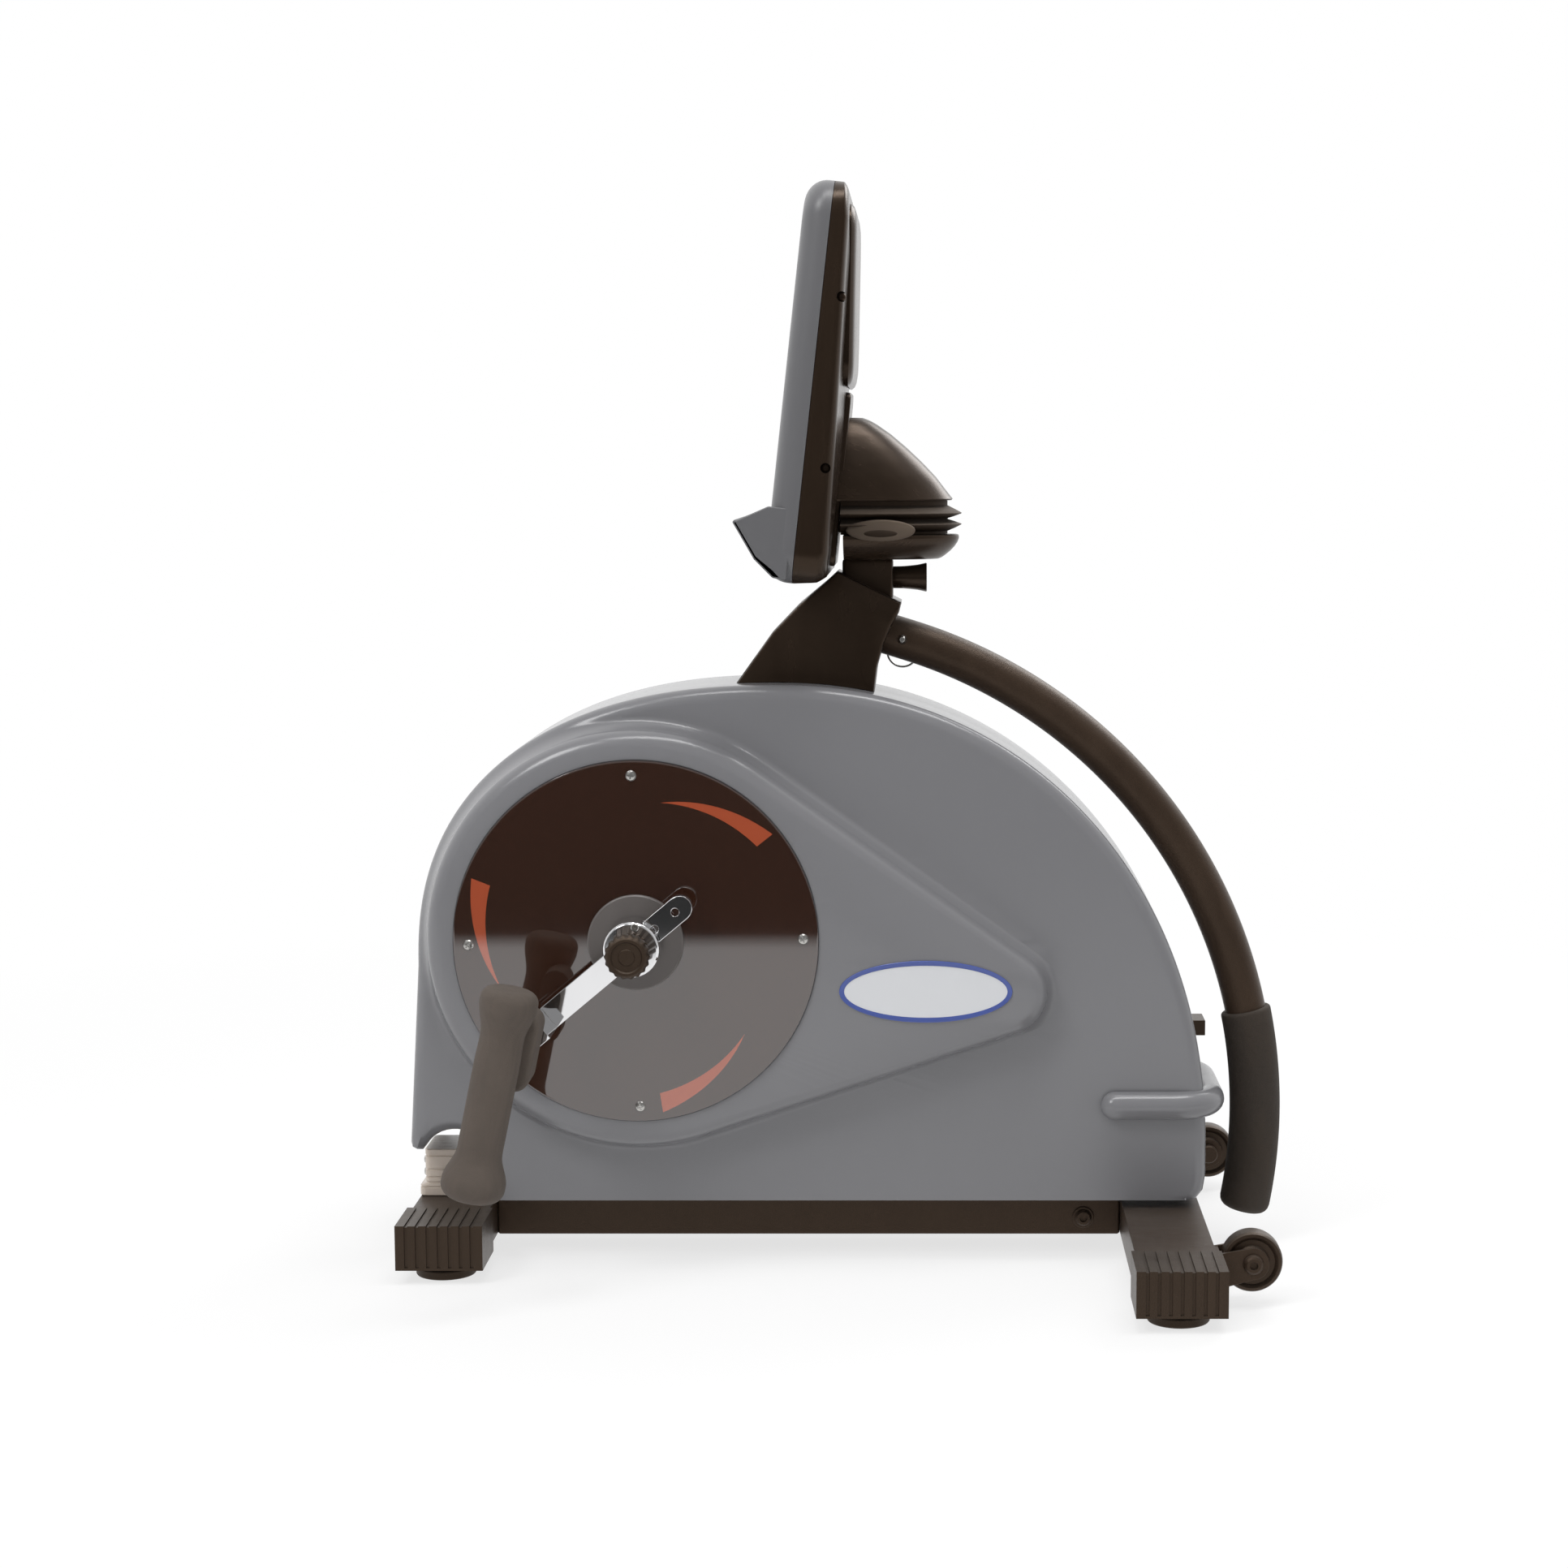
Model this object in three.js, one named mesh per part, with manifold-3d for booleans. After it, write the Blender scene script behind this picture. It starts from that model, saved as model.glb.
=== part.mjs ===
// A side-drive arm ergometer, in millimetres, +Z up.
// The user sits at the -X end and turns two cranks, one on each side of the casing.
// Inside, x is counted from the centre of the front stabiliser, and the whole is then centred.
import * as THREE from "three";
import { mergeVertices } from "three/addons/utils/BufferGeometryUtils.js";
import Module from "manifold-3d";

const wasm = await Module();
wasm.setup();

// General clearances
const fit = 0.3;
const overrun = 5;
const weldDistance = 1e-3;
const degree = Math.PI / 180;

// Base frame
const stabilizerSpacing = 550;
const tubeUnderside = 13.5;
const tubeHeight = 30;
const tubeWall = 2;
const stabilizerWidth = 60;
const baseTubeWidth = 50;
const frontStabilizerLength = 240;
const rearStabilizerLength = 480;

// Ribbed end caps and levelling feet
const capLength = 54;
const capEndWall = 4;
const capSideWall = 2.7;
const capTopWall = 1.9;
const capRibs = 8;
const capGrooveWidth = 2.6;
const capGrooveDepth = 1.1;
const footFromEnd = 34;
const footRadius = 23;
const footEdge = 1.5;
const footPadHeight = 7;
const footCollarRadius = 9;
const footCollarHeight = 10.8;
const footStemRadius = 5;
const footStemReach = 14;

// Transport wheels
const wheelFaceGap = 4.6;
const wheelHeight = 33.7;
const wheelRadius = 22.5;
const wheelWidth = 18;
const wheelCapGap = 6;
const wheelHubRadius = 11;
const wheelDish = 2.5;
const wheelEdge = 2;
const wheelSideGap = 1;
const wheelBoltRadius = 4;
const wheelBoltHeadRadius = 7.5;
const wheelBoltHeadHeight = 4.5;
const wheelBoltTail = 6;
const bracketPlate = 3;
const bracketTabRadius = 12;
const bracketTopInset = 2.5;
const bracketBottomInset = 1;

// Ribbed block that carries the front of the casing
const riserLength = 49;
const riserWidth = 48;
const riserHeight = 37.5;
const riserFrontInset = 3.5;
const riserFlange = 4.2;
const riserRibs = 5;
const riserGrooveHeight = 1.4;
const riserGrooveDepth = 1.3;

// Casing: two shells that meet on the mid-plane
const casingHalfWidth = 61;
const casingWall = 3;
const casingRound = 10;
const casingBaseGap = 6.5;
const casingTop = 449;
const casingTopSetback = 254;
const casingFrontReach = 277;
const casingRearOverhang = 34;
const casingFrontShoulder = 233;
const casingRearShoulder = 90;
const casingFrontRake = 8.3;
const casingLobeGap = 7;
const casingLobeRound = 5;
const casingRearCorner = 18;
const casingRearTuck = 6;
const casingFrontSquareness = 2.35;
const casingRearSquareness = 2.1;
const notchSetback = 3;
const notchDrop = 10.3;
const notchRadius = 26.5;
const seamGap = 0.15;

// Boss over the belt drive, with the round cover disc
const crankSetback = 148;
const crankHeight = 257;
const bossRise = 25;
const bossRadius = 160;
const bossNoseRadius = 32;
const bossNoseForward = 8.4;
const bossNoseDrop = 3.7;
const bossRound = 13;
const bossShaftHole = 28;
const discRimGap = 22;
const discThickness = 3.2;
const discSeatDepth = 1.2;
const discRingRadius = 36.5;
const discRingHeight = 2.6;
const discEdge = 0.8;

// Screw pillars inside the shells, on the mast
const pillarRadius = 8;
const pillarFloorGap = 32;
const pillarTopGap = 25;

// Lift handle moulded round the rear of the casing
const liftHandleRadius = 11;
const liftHandleHeight = 125.3;
const liftHandleLength = 87;
const liftHandleSideProud = 3;
const liftHandleRearProud = 4.7;
const liftHandleBend = 30;
const liftHandleWeb = 7;

// Power inlet in the rear seam
const inletWidth = 28;
const inletHeight = 12;
const inletLength = 22;
const inletCentreHeight = 176;
const inletProud = 2.5;
const inletSocketDepth = 9;
const inletSocketRim = 2;

// Mast, leaning back from the base tube past the crank bearing
const mastSide = 40;
const mastWall = 3;
const mastLean = 28;
const mastCrankOffset = 24.4;
const mastTopRise = 63;
const bearingShellRadius = 26;
const bearingShellHalfLength = 32;
const bearingRadius = 20;
const bearingHalfLength = 34;
const lugWidth = 24;
const lugOffset = 12;
const lugRootDrop = 14;

// Crank shaft, belt drive and flywheel
const shaftRadius = 10;
const shaftInHub = 12.2;
const beltCentre = 45;
const beltWidth = 13;
const beltThickness = 4;
const drivePulleyGap = 30;
const drivePulleyWidth = 16;
const drivePulleyRim = 7;
const drivePulleyWeb = 4;
const drivePulleyHubRadius = 21;
const flywheelRearGap = 33;
const flywheelFloorGap = 60.5;
const flywheelRadius = 115;
const flywheelWidth = 28;
const flywheelRim = 28;
const flywheelWeb = 8;
const flywheelHubRadius = 22;
const axleRadius = 8.5;
const smallPulleyRadius = 17;
const axleReach = 34;
const flywheelPlateReach = 24;
const flywheelPlate = 4;
const flywheelPlateRound = 22;
const flywheelFootLength = 72;
const flywheelFootRise = 18.5;
const pedestalLength = 44;
const pedestalWidth = 40;
const brakePivotAngle = 155;
const brakePivotGap = 17;
const brakeEarRadius = 11;
const brakeEndAngle = 95;
const brakeGap = 2;
const brakeThickness = 11;
const brakeWidth = 36;
const brakePinRadius = 4;
const motorLength = 40;
const motorHeight = 36;
const motorDepth = 22;
const motorDrop = 78;

// Cranks: a bar clamped in each hub
const crankAngle = 40;
const crankLength = 97;
const hubRadius = 21;
const hubGap = 6.5;
const hubLength = 31.5;
const hubChamfer = 1.5;
const barInHub = 13.5;
const barThickness = 8;
const barWidth = 19;
const barTail = 56;
const barJoggleAt = 82;
const barJoggleRise = 40;
const barTip = 14;
const barHoleRadius = 3;
const barHolePitch = 20;
const barHoleFirst = 42;
const barHoles = 3;
const studRadius = 7;
const studReach = 23;
const clampScrewRadius = 5;
const clampKnobRadius = 17;
const clampKnobGap = 2.5;
const clampKnobLength = 30;
const clampKnobEdge = 3;
const clampKnobFace = 1.2;

// Swivelling handles
const handleLean = 11.9;
const gripAxisGap = 18;
const gripAxisOffset = 12.7;
const gripTop = 47;
const gripBottom = -110;
const gripRadius = 16.6;
const gripTopRadius = 21;
const gripBottomRadius = 23.3;
const gripCoreRadius = 8;
const gripCoreEndCover = 14;
const carrierRadius = 11;
const carrierRise = 17;
const carrierDrop = 19;
const carrierGap = 3.5;
const carrierLength = 29.5;
const carrierRound = 3;
const neckWidth = 22;
const neckHeight = 24;

// Mast cover
const mastCoverFrontReach = 107;
const mastCoverDrop = 88;
const mastCoverLength = 148;
const mastCoverHeight = 110;
const mastCoverHalfWidth = 30;
const mastCoverWall = 3;
const mastCoverRound = 3;

// Console, drawn upright: t towards the back, s upwards, from the foot of the seam
const consoleLugGap = 27.5;
const consoleTiltDrop = 44.6;
const consoleLean = 6.44;
const consoleWidth = 220;
const consoleLength = 297;
const consoleCorner = 26;
const consoleFrontDepth = 21;
const consoleFrontRound = 9;
const consoleRearDepth = 25;
const consoleRearRound = 7;
const consoleWall = 2.5;
const backPanelHalfWidth = 78;
const backPanelRise = 5.5;
const backPanelBottom = 150;
const backPanelTopInset = 17;
const lensWidth = 156;
const lensHeight = 96;
const lensThickness = 1.7;
const lensTopGap = 41;
const lensCorner = 8;
const lensSeat = 6;
const keyWidth = 24;
const keyHeight = 12;
const keyDepth = 7;
const keyProud = 1.6;
const keyPitch = 38;
const keyGap = 42;
const keyCount = 3;
const rackSideInset = 4;
const rackReach = 26.5;
const rackHeight = 55;
const rackWall = 3;
const rackLipStep = 1;
const rackFootStep = 4;

// Tilt joint of the console, with its hood, bellows and cup
const tiltRise = 60;
const tiltPinRadius = 5;
const tiltPinHeadRadius = 8;
const tiltPinHead = 4;
const tiltEarPlate = 3;
const tiltEarRadius = 11;
const tiltPlateHeight = 46;
const tiltPlateBottom = 40;
const tiltPlateWidth = 60;
const hoodHeight = 63;
const hoodFloorRise = 16;
const hoodRearReach = 68;
const hoodHalfWidth = 48;
const hoodWall = 2.5;
const hoodFlange = 3;
const hoodFlangeHalfWidth = 40;
const hoodFlangePanelGap = 4;
const hoodFlangeBottom = 14;
const bellowsRearProud = 7;
const bellowsSideProud = 4;
const bellowsFoldDepth = 11;
const bellowsWall = 3;
const cupTopDrop = 10;
const cupHeight = 19;
const cupTuck = 2;
const cupFloorInset = 13;
const cupWall = 3;
const cupConsoleGap = 4;
const tiltKnobDrop = 43.5;
const tiltKnobGap = 6;
const tiltKnobLength = 31;
const tiltKnobRadius = 6.5;
const tiltKnobFlare = 11.2;
const tiltKnobStem = 4;
const tiltKnobStemDepth = 10;
const tiltKnobRim = 2.3;
const tiltKnobDish = 3;

// Support arm, plugged on a stub of the mast
const armRadius = 16;
const armWall = 2;
const armRearGap = 43.7;
const armSocketReach = 45.77;
const armSocketDrop = 32.23;
const armArcRadius = 389.2;
const armArcMiddle = 10;
const armEndHeight = 41;
const armEndArcRadius = 389.2;
const armSocket = 24;
const stubGap = 0.6;
const foamThickness = 3.6;
const foamTopAngle = 12;
const foamEndCover = 14;
const armSides = 16;
const armSteps = 24;
const foamSteps = 8;
const lockPinRadius = 3.8;
const lockPinFromBend = 5;
const lockPinTip = 3;
const lockPinHeadRadius = 6.5;
const lockPinHead = 5;
const lockPinTongue = 7;
const lockPinTongueWidth = 4;
const pinRingRadius = 12;
const pinRingWire = 0.8;
const pinRingHole = 1.7;

// Derived places: frame and wheels
const tubeTop = tubeUnderside + tubeHeight;
const capFace = capEndWall + fit;
const footHoleRadius = footStemRadius + fit;
const riserBottom = tubeTop + fit;
const riserTop = riserBottom + riserHeight;
const wheelSetback = stabilizerWidth / 2 + wheelFaceGap + wheelRadius;
const wheelSideReach = wheelWidth / 2 + wheelSideGap + bracketPlate;
const wheelTrack = rearStabilizerLength - 2 * (capLength + wheelCapGap + wheelSideReach);
const bracketTop = tubeTop - bracketTopInset;
const bracketBottom = tubeUnderside + bracketBottomInset;

// Derived places: casing
const casingRear = stabilizerSpacing + casingRearOverhang;
const casingRearReach = casingRear - casingTopSetback;
const casingFront = casingTopSetback - casingFrontReach;
const casingBottom = tubeTop + casingBaseGap;
const casingLobeBottom = riserTop + casingLobeGap;
const notchHeight = casingLobeBottom - notchDrop;
const bossReach = casingHalfWidth + bossRise;
const discRadius = bossRadius - discRimGap;
const pillarLowHeight = casingBottom + pillarFloorGap;
const pillarHighHeight = casingTop - pillarTopGap;
const liftHandleRearReach = casingRear + liftHandleRearProud;
const liftHandleStart = liftHandleRearReach - liftHandleLength;
const liftHandleSideReach = casingHalfWidth + liftHandleSideProud;
const inletRear = casingRear + inletProud;

// Derived places: mast, drive and cranks
const mastRun = Math.tan(mastLean * degree);
const mastTopHeight = casingTop + mastTopRise;
const mastTopSetback = crankSetback + mastCrankOffset + (mastTopHeight - crankHeight) * mastRun;
const lugSetback = mastTopSetback + lugOffset;
const mastCoverSetback = mastTopSetback - mastCoverFrontReach;
const mastCoverFloor = mastTopHeight - mastCoverDrop;
const drivePulleyRadius = bossRadius - drivePulleyGap;
const flywheelSetback = casingRear - flywheelRearGap - flywheelRadius;
const flywheelHeight = tubeTop + flywheelFloorGap + flywheelRadius;
const flywheelFootHeight = tubeTop + flywheelFootRise;
const brakePivotDistance = flywheelRadius + brakePivotGap;
const crankAxis = [crankSetback, crankHeight];
const flywheelAxis = [flywheelSetback, flywheelHeight];
const bossNoseAxis = [flywheelSetback - bossNoseForward, flywheelHeight - bossNoseDrop];
const hubStart = bossReach + hubGap;
const hubEnd = hubStart + hubLength;
const shaftReach = hubStart + shaftInHub;
const barStart = hubStart + barInHub;
const pivotReach = barStart + barThickness + barJoggleRise;
const clampKnobStart = hubEnd + clampKnobGap;
const clampKnobEnd = clampKnobStart + clampKnobLength;
const carrierStart = pivotReach + carrierGap;
const carrierEnd = carrierStart + carrierLength;
const gripAxisReach = carrierEnd + gripAxisGap;

// Derived places: console and tilt joint
const tiltHeight = mastTopHeight + tiltRise;
const consoleSetback = lugSetback - consoleLugGap - consoleRearDepth;
const consoleHeight = tiltHeight - consoleTiltDrop;
const backPanelTop = consoleLength - backPanelTopInset;
const lensCentre = consoleLength - lensTopGap - lensHeight / 2;
const keyCentre = lensCentre - lensHeight / 2 - keyGap - keyHeight / 2;
const rackHalfWidth = consoleWidth / 2 - rackSideInset;
const hoodBottom = tiltHeight + hoodFloorRise;
const hoodTop = hoodBottom + hoodHeight;
const hoodRear = lugSetback + hoodRearReach;
const hoodFlangeTop = backPanelBottom - hoodFlangePanelGap;
const bellowsRear = hoodRear + bellowsRearProud;
const bellowsHalfWidth = hoodHalfWidth + bellowsSideProud;
const cupTop = tiltHeight - cupTopDrop;
const cupBottom = cupTop - cupHeight;
const cupRear = bellowsRear - cupTuck;
const tiltKnobHeight = tiltHeight - tiltKnobDrop;
const tiltKnobStart = lugSetback + tiltEarRadius + tiltKnobGap;

// Derived places: the arm's wide arc passes through its socket and stands clear behind the casing
const armSocketSetback = mastTopSetback + armSocketReach;
const armSocketHeight = mastTopHeight - armSocketDrop;
const armArcSetback = casingRear + armRearGap - armArcRadius;
const armArcRun = armSocketSetback - armArcSetback;
const armArcHeight = armSocketHeight - Math.sqrt(armArcRadius ** 2 - armArcRun ** 2);
const armStartTurn = Math.atan2(armSocketHeight - armArcHeight, armArcRun);
const armMiddleTurn = armArcMiddle * degree;
const endArcCentre = [
  armArcSetback + (armArcRadius - armEndArcRadius) * Math.cos(armMiddleTurn),
  armArcHeight + (armArcRadius - armEndArcRadius) * Math.sin(armMiddleTurn),
];
const armEndTurn = Math.asin((armEndHeight - endArcCentre[1]) / armEndArcRadius);

function mastCentreAt(height) {
  return mastTopSetback - (mastTopHeight - height) * mastRun;
}

// Materials
function finish(color, roughness, metalness) {
  return new THREE.MeshStandardMaterial({ color, roughness, metalness });
}
const bluePlastic = finish(0x5b636d, 0.3, 0);
const blackPlastic = finish(0x231f1d, 0.35, 0);
const blackSteel = finish(0x2a2623, 0.45, 0.2);
const darkDisc = finish(0x2a1712, 0.12, 0);
const chrome = finish(0xd8dadc, 0.08, 1);
const plainSteel = finish(0x9a9c9e, 0.35, 1);
const foam = finish(0x46423f, 0.85, 0);
const paleRibbed = finish(0xd6d0c6, 0.35, 0.3);
const smokedLens = finish(0x101418, 0.08, 0);

// Solid helpers

// A closed geometry as a manifold, with its welded-away triangles dropped and its faces out.
function solid(geometry) {
  const bare = new THREE.BufferGeometry();
  bare.setAttribute("position", geometry.getAttribute("position").clone());
  if (geometry.index) bare.setIndex(geometry.index.clone());
  const merged = mergeVertices(bare, weldDistance);
  const corners = merged.index.array;
  const kept = [];
  for (let i = 0; i < corners.length; i += 3) {
    const [a, b, c] = [corners[i], corners[i + 1], corners[i + 2]];
    if (a !== b && b !== c && c !== a) kept.push(a, b, c);
  }
  const vertProperties = merged.attributes.position.array;
  const build = (triVerts) =>
    new wasm.Manifold(new wasm.Mesh({ numProp: 3, vertProperties, triVerts: new Uint32Array(triVerts) }));
  const made = build(kept);
  if (made.volume() > 0) return made;
  const turned = [];
  for (let i = 0; i < kept.length; i += 3) turned.push(kept[i], kept[i + 2], kept[i + 1]);
  return build(turned);
}

function join(...solids) {
  return solids.reduce((whole, piece) => whole.add(piece));
}

function cut(base, ...tools) {
  return tools.reduce((whole, tool) => whole.subtract(tool), base);
}

function geometryOf(made) {
  const { vertProperties, triVerts, numProp } = made.getMesh();
  const positions = [];
  for (const vertex of triVerts) {
    const at = vertex * numProp;
    positions.push(vertProperties[at], vertProperties[at + 1], vertProperties[at + 2]);
  }
  const geometry = new THREE.BufferGeometry();
  geometry.setAttribute("position", new THREE.Float32BufferAttribute(positions, 3));
  geometry.computeVertexNormals();
  return geometry;
}

function box(x0, x1, y0, y1, z0, z1) {
  const geometry = new THREE.BoxGeometry(x1 - x0, y1 - y0, z1 - z0);
  return solid(geometry.translate((x0 + x1) / 2, (y0 + y1) / 2, (z0 + z1) / 2));
}

// A round bar between two points.
function rod(from, to, radius, sides) {
  const along = to.clone().sub(from);
  const geometry = new THREE.CylinderGeometry(radius, radius, along.length(), sides);
  const turn = new THREE.Quaternion();
  turn.setFromUnitVectors(new THREE.Vector3(0, 1, 0), along.clone().normalize());
  geometry.applyQuaternion(turn);
  const middle = from.clone().add(to).multiplyScalar(1 / 2);
  return solid(geometry.translate(middle.x, middle.y, middle.z));
}

// A bar along Y, from y0 to y1, round the point x, z.
function pinAcross(x, z, y0, y1, radius, sides) {
  return rod(new THREE.Vector3(x, y0, z), new THREE.Vector3(x, y1, z), radius, sides);
}

// A turned piece round the local Y axis: profile points are [radius, y].
function turnedGeometry(profile, sides) {
  return new THREE.LatheGeometry(profile.map(([r, y]) => new THREE.Vector2(r, y)), sides);
}

function turned(profile, sides) {
  return solid(turnedGeometry(profile, sides));
}

// An outline in x and z, extruded along Y.
function prismAcross(outline, y0, y1) {
  const shape = new THREE.Shape(outline.map(([x, z]) => new THREE.Vector2(x, z)));
  const geometry = new THREE.ExtrudeGeometry(shape, { depth: y1 - y0, bevelEnabled: false });
  return solid(geometry.rotateX(Math.PI / 2).translate(0, y1, 0));
}

// A skin through rings of equally many points, closed by a flat cap at each end.
function loft(rings, flatten) {
  const count = rings[0].length;
  const positions = rings.flat().flatMap((p) => [p.x, p.y, p.z]);
  const index = [];
  for (let r = 0; r + 1 < rings.length; r++) {
    for (let i = 0; i < count; i++) {
      const a = r * count + i;
      const b = r * count + ((i + 1) % count);
      index.push(a, b, b + count, a, b + count, a + count);
    }
  }
  const caps = [0, rings.length - 1];
  caps.forEach((r, side) => {
    const faces = THREE.ShapeUtils.triangulateShape(rings[r].map(flatten), []);
    const clockwise = THREE.ShapeUtils.isClockWise(rings[r].map(flatten));
    for (const [a, b, c] of faces) {
      const face = (side === 0) === clockwise ? [a, b, c] : [a, c, b];
      index.push(...face.map((i) => r * count + i));
    }
  });
  const geometry = new THREE.BufferGeometry();
  geometry.setAttribute("position", new THREE.Float32BufferAttribute(positions, 3));
  geometry.setIndex(index);
  return solid(geometry);
}

// A prism along Y whose edge at y1 is rounded; outline(inset) gives its points in x and z.
function roundedPrism(outline, y0, y1, radius, steps) {
  const rings = [ring(outline(0), y0)];
  for (let i = 0; i <= steps; i++) {
    const turn = (i / steps) * (Math.PI / 2);
    rings.push(ring(outline(radius * (1 - Math.cos(turn))), y1 - radius * (1 - Math.sin(turn))));
  }
  return loft(rings, flatAcross);
}

function ring(points, y) {
  return points.map(([x, z]) => new THREE.Vector3(x, y, z));
}

function flatAcross(point) {
  return new THREE.Vector2(point.x, point.z);
}

// A round section swept along a path in the x-z plane; radiusAt(share) is its radius.
function sweep(path, shares, radiusAt, sides) {
  const rings = shares.map((share) => {
    const at = path.getPointAt(Math.min(Math.max(share, 0), 1));
    const way = path.getTangentAt(Math.min(Math.max(share, 0), 1));
    const points = [];
    for (let i = 0; i < sides; i++) {
      const turn = (i / sides) * 2 * Math.PI;
      const out = radiusAt(share) * Math.cos(turn);
      const across = radiusAt(share) * Math.sin(turn);
      points.push(new THREE.Vector3(at.x - way.y * out, across, at.y + way.x * out));
    }
    return points;
  });
  return loft(rings, (p) => new THREE.Vector2(p.y, p.z));
}

// Outlines in x and z

function arcPoints(cx, cz, radius, from, to, steps) {
  const points = [];
  for (let i = 0; i <= steps; i++) {
    const turn = (from + ((to - from) * i) / steps) * degree;
    points.push([cx + radius * Math.cos(turn), cz + radius * Math.sin(turn)]);
  }
  return points;
}

function rectangleOutline(x0, x1, z0, z1, corner, steps) {
  return [
    ...arcPoints(x1 - corner, z0 + corner, corner, -90, 0, steps),
    ...arcPoints(x1 - corner, z1 - corner, corner, 0, 90, steps),
    ...arcPoints(x0 + corner, z1 - corner, corner, 90, 180, steps),
    ...arcPoints(x0 + corner, z0 + corner, corner, 180, 270, steps),
  ];
}

// The straight-sided loop round two circles, as a belt lies on two pulleys.
function beltOutline(first, firstRadius, second, secondRadius, firstSteps, secondSteps) {
  const [dx, dz] = [second[0] - first[0], second[1] - first[1]];
  const heading = Math.atan2(dz, dx) / degree;
  const spread = Math.acos((firstRadius - secondRadius) / Math.hypot(dx, dz)) / degree;
  return [
    ...arcPoints(...first, firstRadius, heading + spread, heading + 360 - spread, firstSteps),
    ...arcPoints(...second, secondRadius, heading - spread, heading + spread, secondSteps),
  ];
}

// Every edge of a convex-cornered outline moved inwards by the same distance.
function insetOutline(points, distance) {
  const sense = THREE.ShapeUtils.area(points.map(([x, z]) => new THREE.Vector2(x, z))) > 0 ? 1 : -1;
  return points.map((point, i) => {
    const before = points[(i + points.length - 1) % points.length];
    const after = points[(i + 1) % points.length];
    const [ax, az] = unitNormal(before, point, sense);
    const [bx, bz] = unitNormal(point, after, sense);
    const share = distance / (1 + ax * bx + az * bz);
    return [point[0] + (ax + bx) * share, point[1] + (az + bz) * share];
  });
}

function unitNormal(from, to, sense) {
  const [dx, dz] = [to[0] - from[0], to[1] - from[1]];
  const length = Math.hypot(dx, dz);
  return [(-dz / length) * sense, (dx / length) * sense];
}

function scaledOutline(shares, x, z, width, height) {
  return shares.map(([u, v]) => [x + u * width, z + v * height]);
}

// Placing

const root = new THREE.Group();

function add(parent, name, made, material) {
  const mesh = new THREE.Mesh(geometryOf(made), material);
  mesh.name = name;
  parent.add(mesh);
  return mesh;
}

// One copy on the near side (-Y) and one on the far side, mirrored across the mid-plane.
function addPair(name, made, material) {
  add(root, name + "_far", made, material);
  add(root, name + "_near", made, material).scale.y = -1;
}

// Base frame

function stabilizer(length) {
  const half = length / 2 - capFace;
  const side = stabilizerWidth / 2;
  const tube = cut(
    box(-side, side, -half, half, tubeUnderside, tubeTop),
    box(
      -side + tubeWall,
      side - tubeWall,
      -half - overrun,
      half + overrun,
      tubeUnderside + tubeWall,
      tubeTop - tubeWall,
    ),
  );
  const holes = [-1, 1].map((end) => footHole(end * (length / 2 - footFromEnd)));
  return cut(tube, ...holes);
}

function footHole(y) {
  const from = new THREE.Vector3(0, y, 0);
  return rod(from, new THREE.Vector3(0, y, tubeUnderside + tubeWall + overrun), footHoleRadius, 16);
}

function endCap(length) {
  const end = length / 2;
  const side = stabilizerWidth / 2 + capSideWall + fit;
  const [bottom, top] = [tubeUnderside - fit - capTopWall, tubeTop + fit + capTopWall];
  const pocketSide = stabilizerWidth / 2 + fit;
  const [pocketStart, pocketEnd] = [end - capLength - overrun, end - capEndWall];
  const body = cut(
    box(-side, side, end - capLength, end, bottom, top),
    box(-pocketSide, pocketSide, pocketStart, pocketEnd, tubeUnderside - fit, tubeTop + fit),
    footHole(end - footFromEnd),
  );
  const pitch = (2 * side) / capRibs;
  const grooves = [];
  for (let i = 1; i < capRibs; i++) {
    const x = -side + i * pitch;
    const [x0, x1] = [x - capGrooveWidth / 2, x + capGrooveWidth / 2];
    grooves.push(box(x0, x1, end - capLength - overrun, end + overrun, top - capGrooveDepth, top + overrun));
    grooves.push(box(x0, x1, end - capGrooveDepth, end + overrun, bottom + capTopWall, top + overrun));
  }
  return cut(body, ...grooves);
}

function foot() {
  const stemTop = tubeUnderside + footStemReach;
  const profile = [
    [0, 0],
    [footRadius - footEdge, 0],
    [footRadius, footEdge],
    [footRadius, footPadHeight],
    [footCollarRadius, footCollarHeight],
    [footStemRadius, footCollarHeight],
    [footStemRadius, stemTop],
    [0, stemTop],
  ];
  return turnedGeometry(profile, 20).rotateX(Math.PI / 2);
}

function buildBase() {
  const baseHalf = baseTubeWidth / 2;
  const [baseStart, baseEnd] = [stabilizerWidth / 2 + fit, stabilizerSpacing - stabilizerWidth / 2 - fit];
  const baseTube = cut(
    box(baseStart, baseEnd, -baseHalf, baseHalf, tubeUnderside, tubeTop),
    box(
      baseStart - overrun,
      baseEnd + overrun,
      -baseHalf + tubeWall,
      baseHalf - tubeWall,
      tubeUnderside + tubeWall,
      tubeTop - tubeWall,
    ),
  );
  add(root, "base_tube", baseTube, blackSteel);
  const rows = [
    ["front", 0, frontStabilizerLength],
    ["rear", stabilizerSpacing, rearStabilizerLength],
  ];
  for (const [name, setback, length] of rows) {
    add(root, name + "_stabilizer", stabilizer(length), blackSteel).position.x = setback;
    for (const [side, sign] of [["near", -1], ["far", 1]]) {
      const cap = add(root, name + "_cap_" + side, endCap(length), blackPlastic);
      cap.position.x = setback;
      cap.scale.y = sign;
      const pad = add(root, name + "_foot_" + side, solid(foot()), blackPlastic);
      pad.position.set(setback, sign * (length / 2 - footFromEnd), 0);
    }
  }
}

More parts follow.
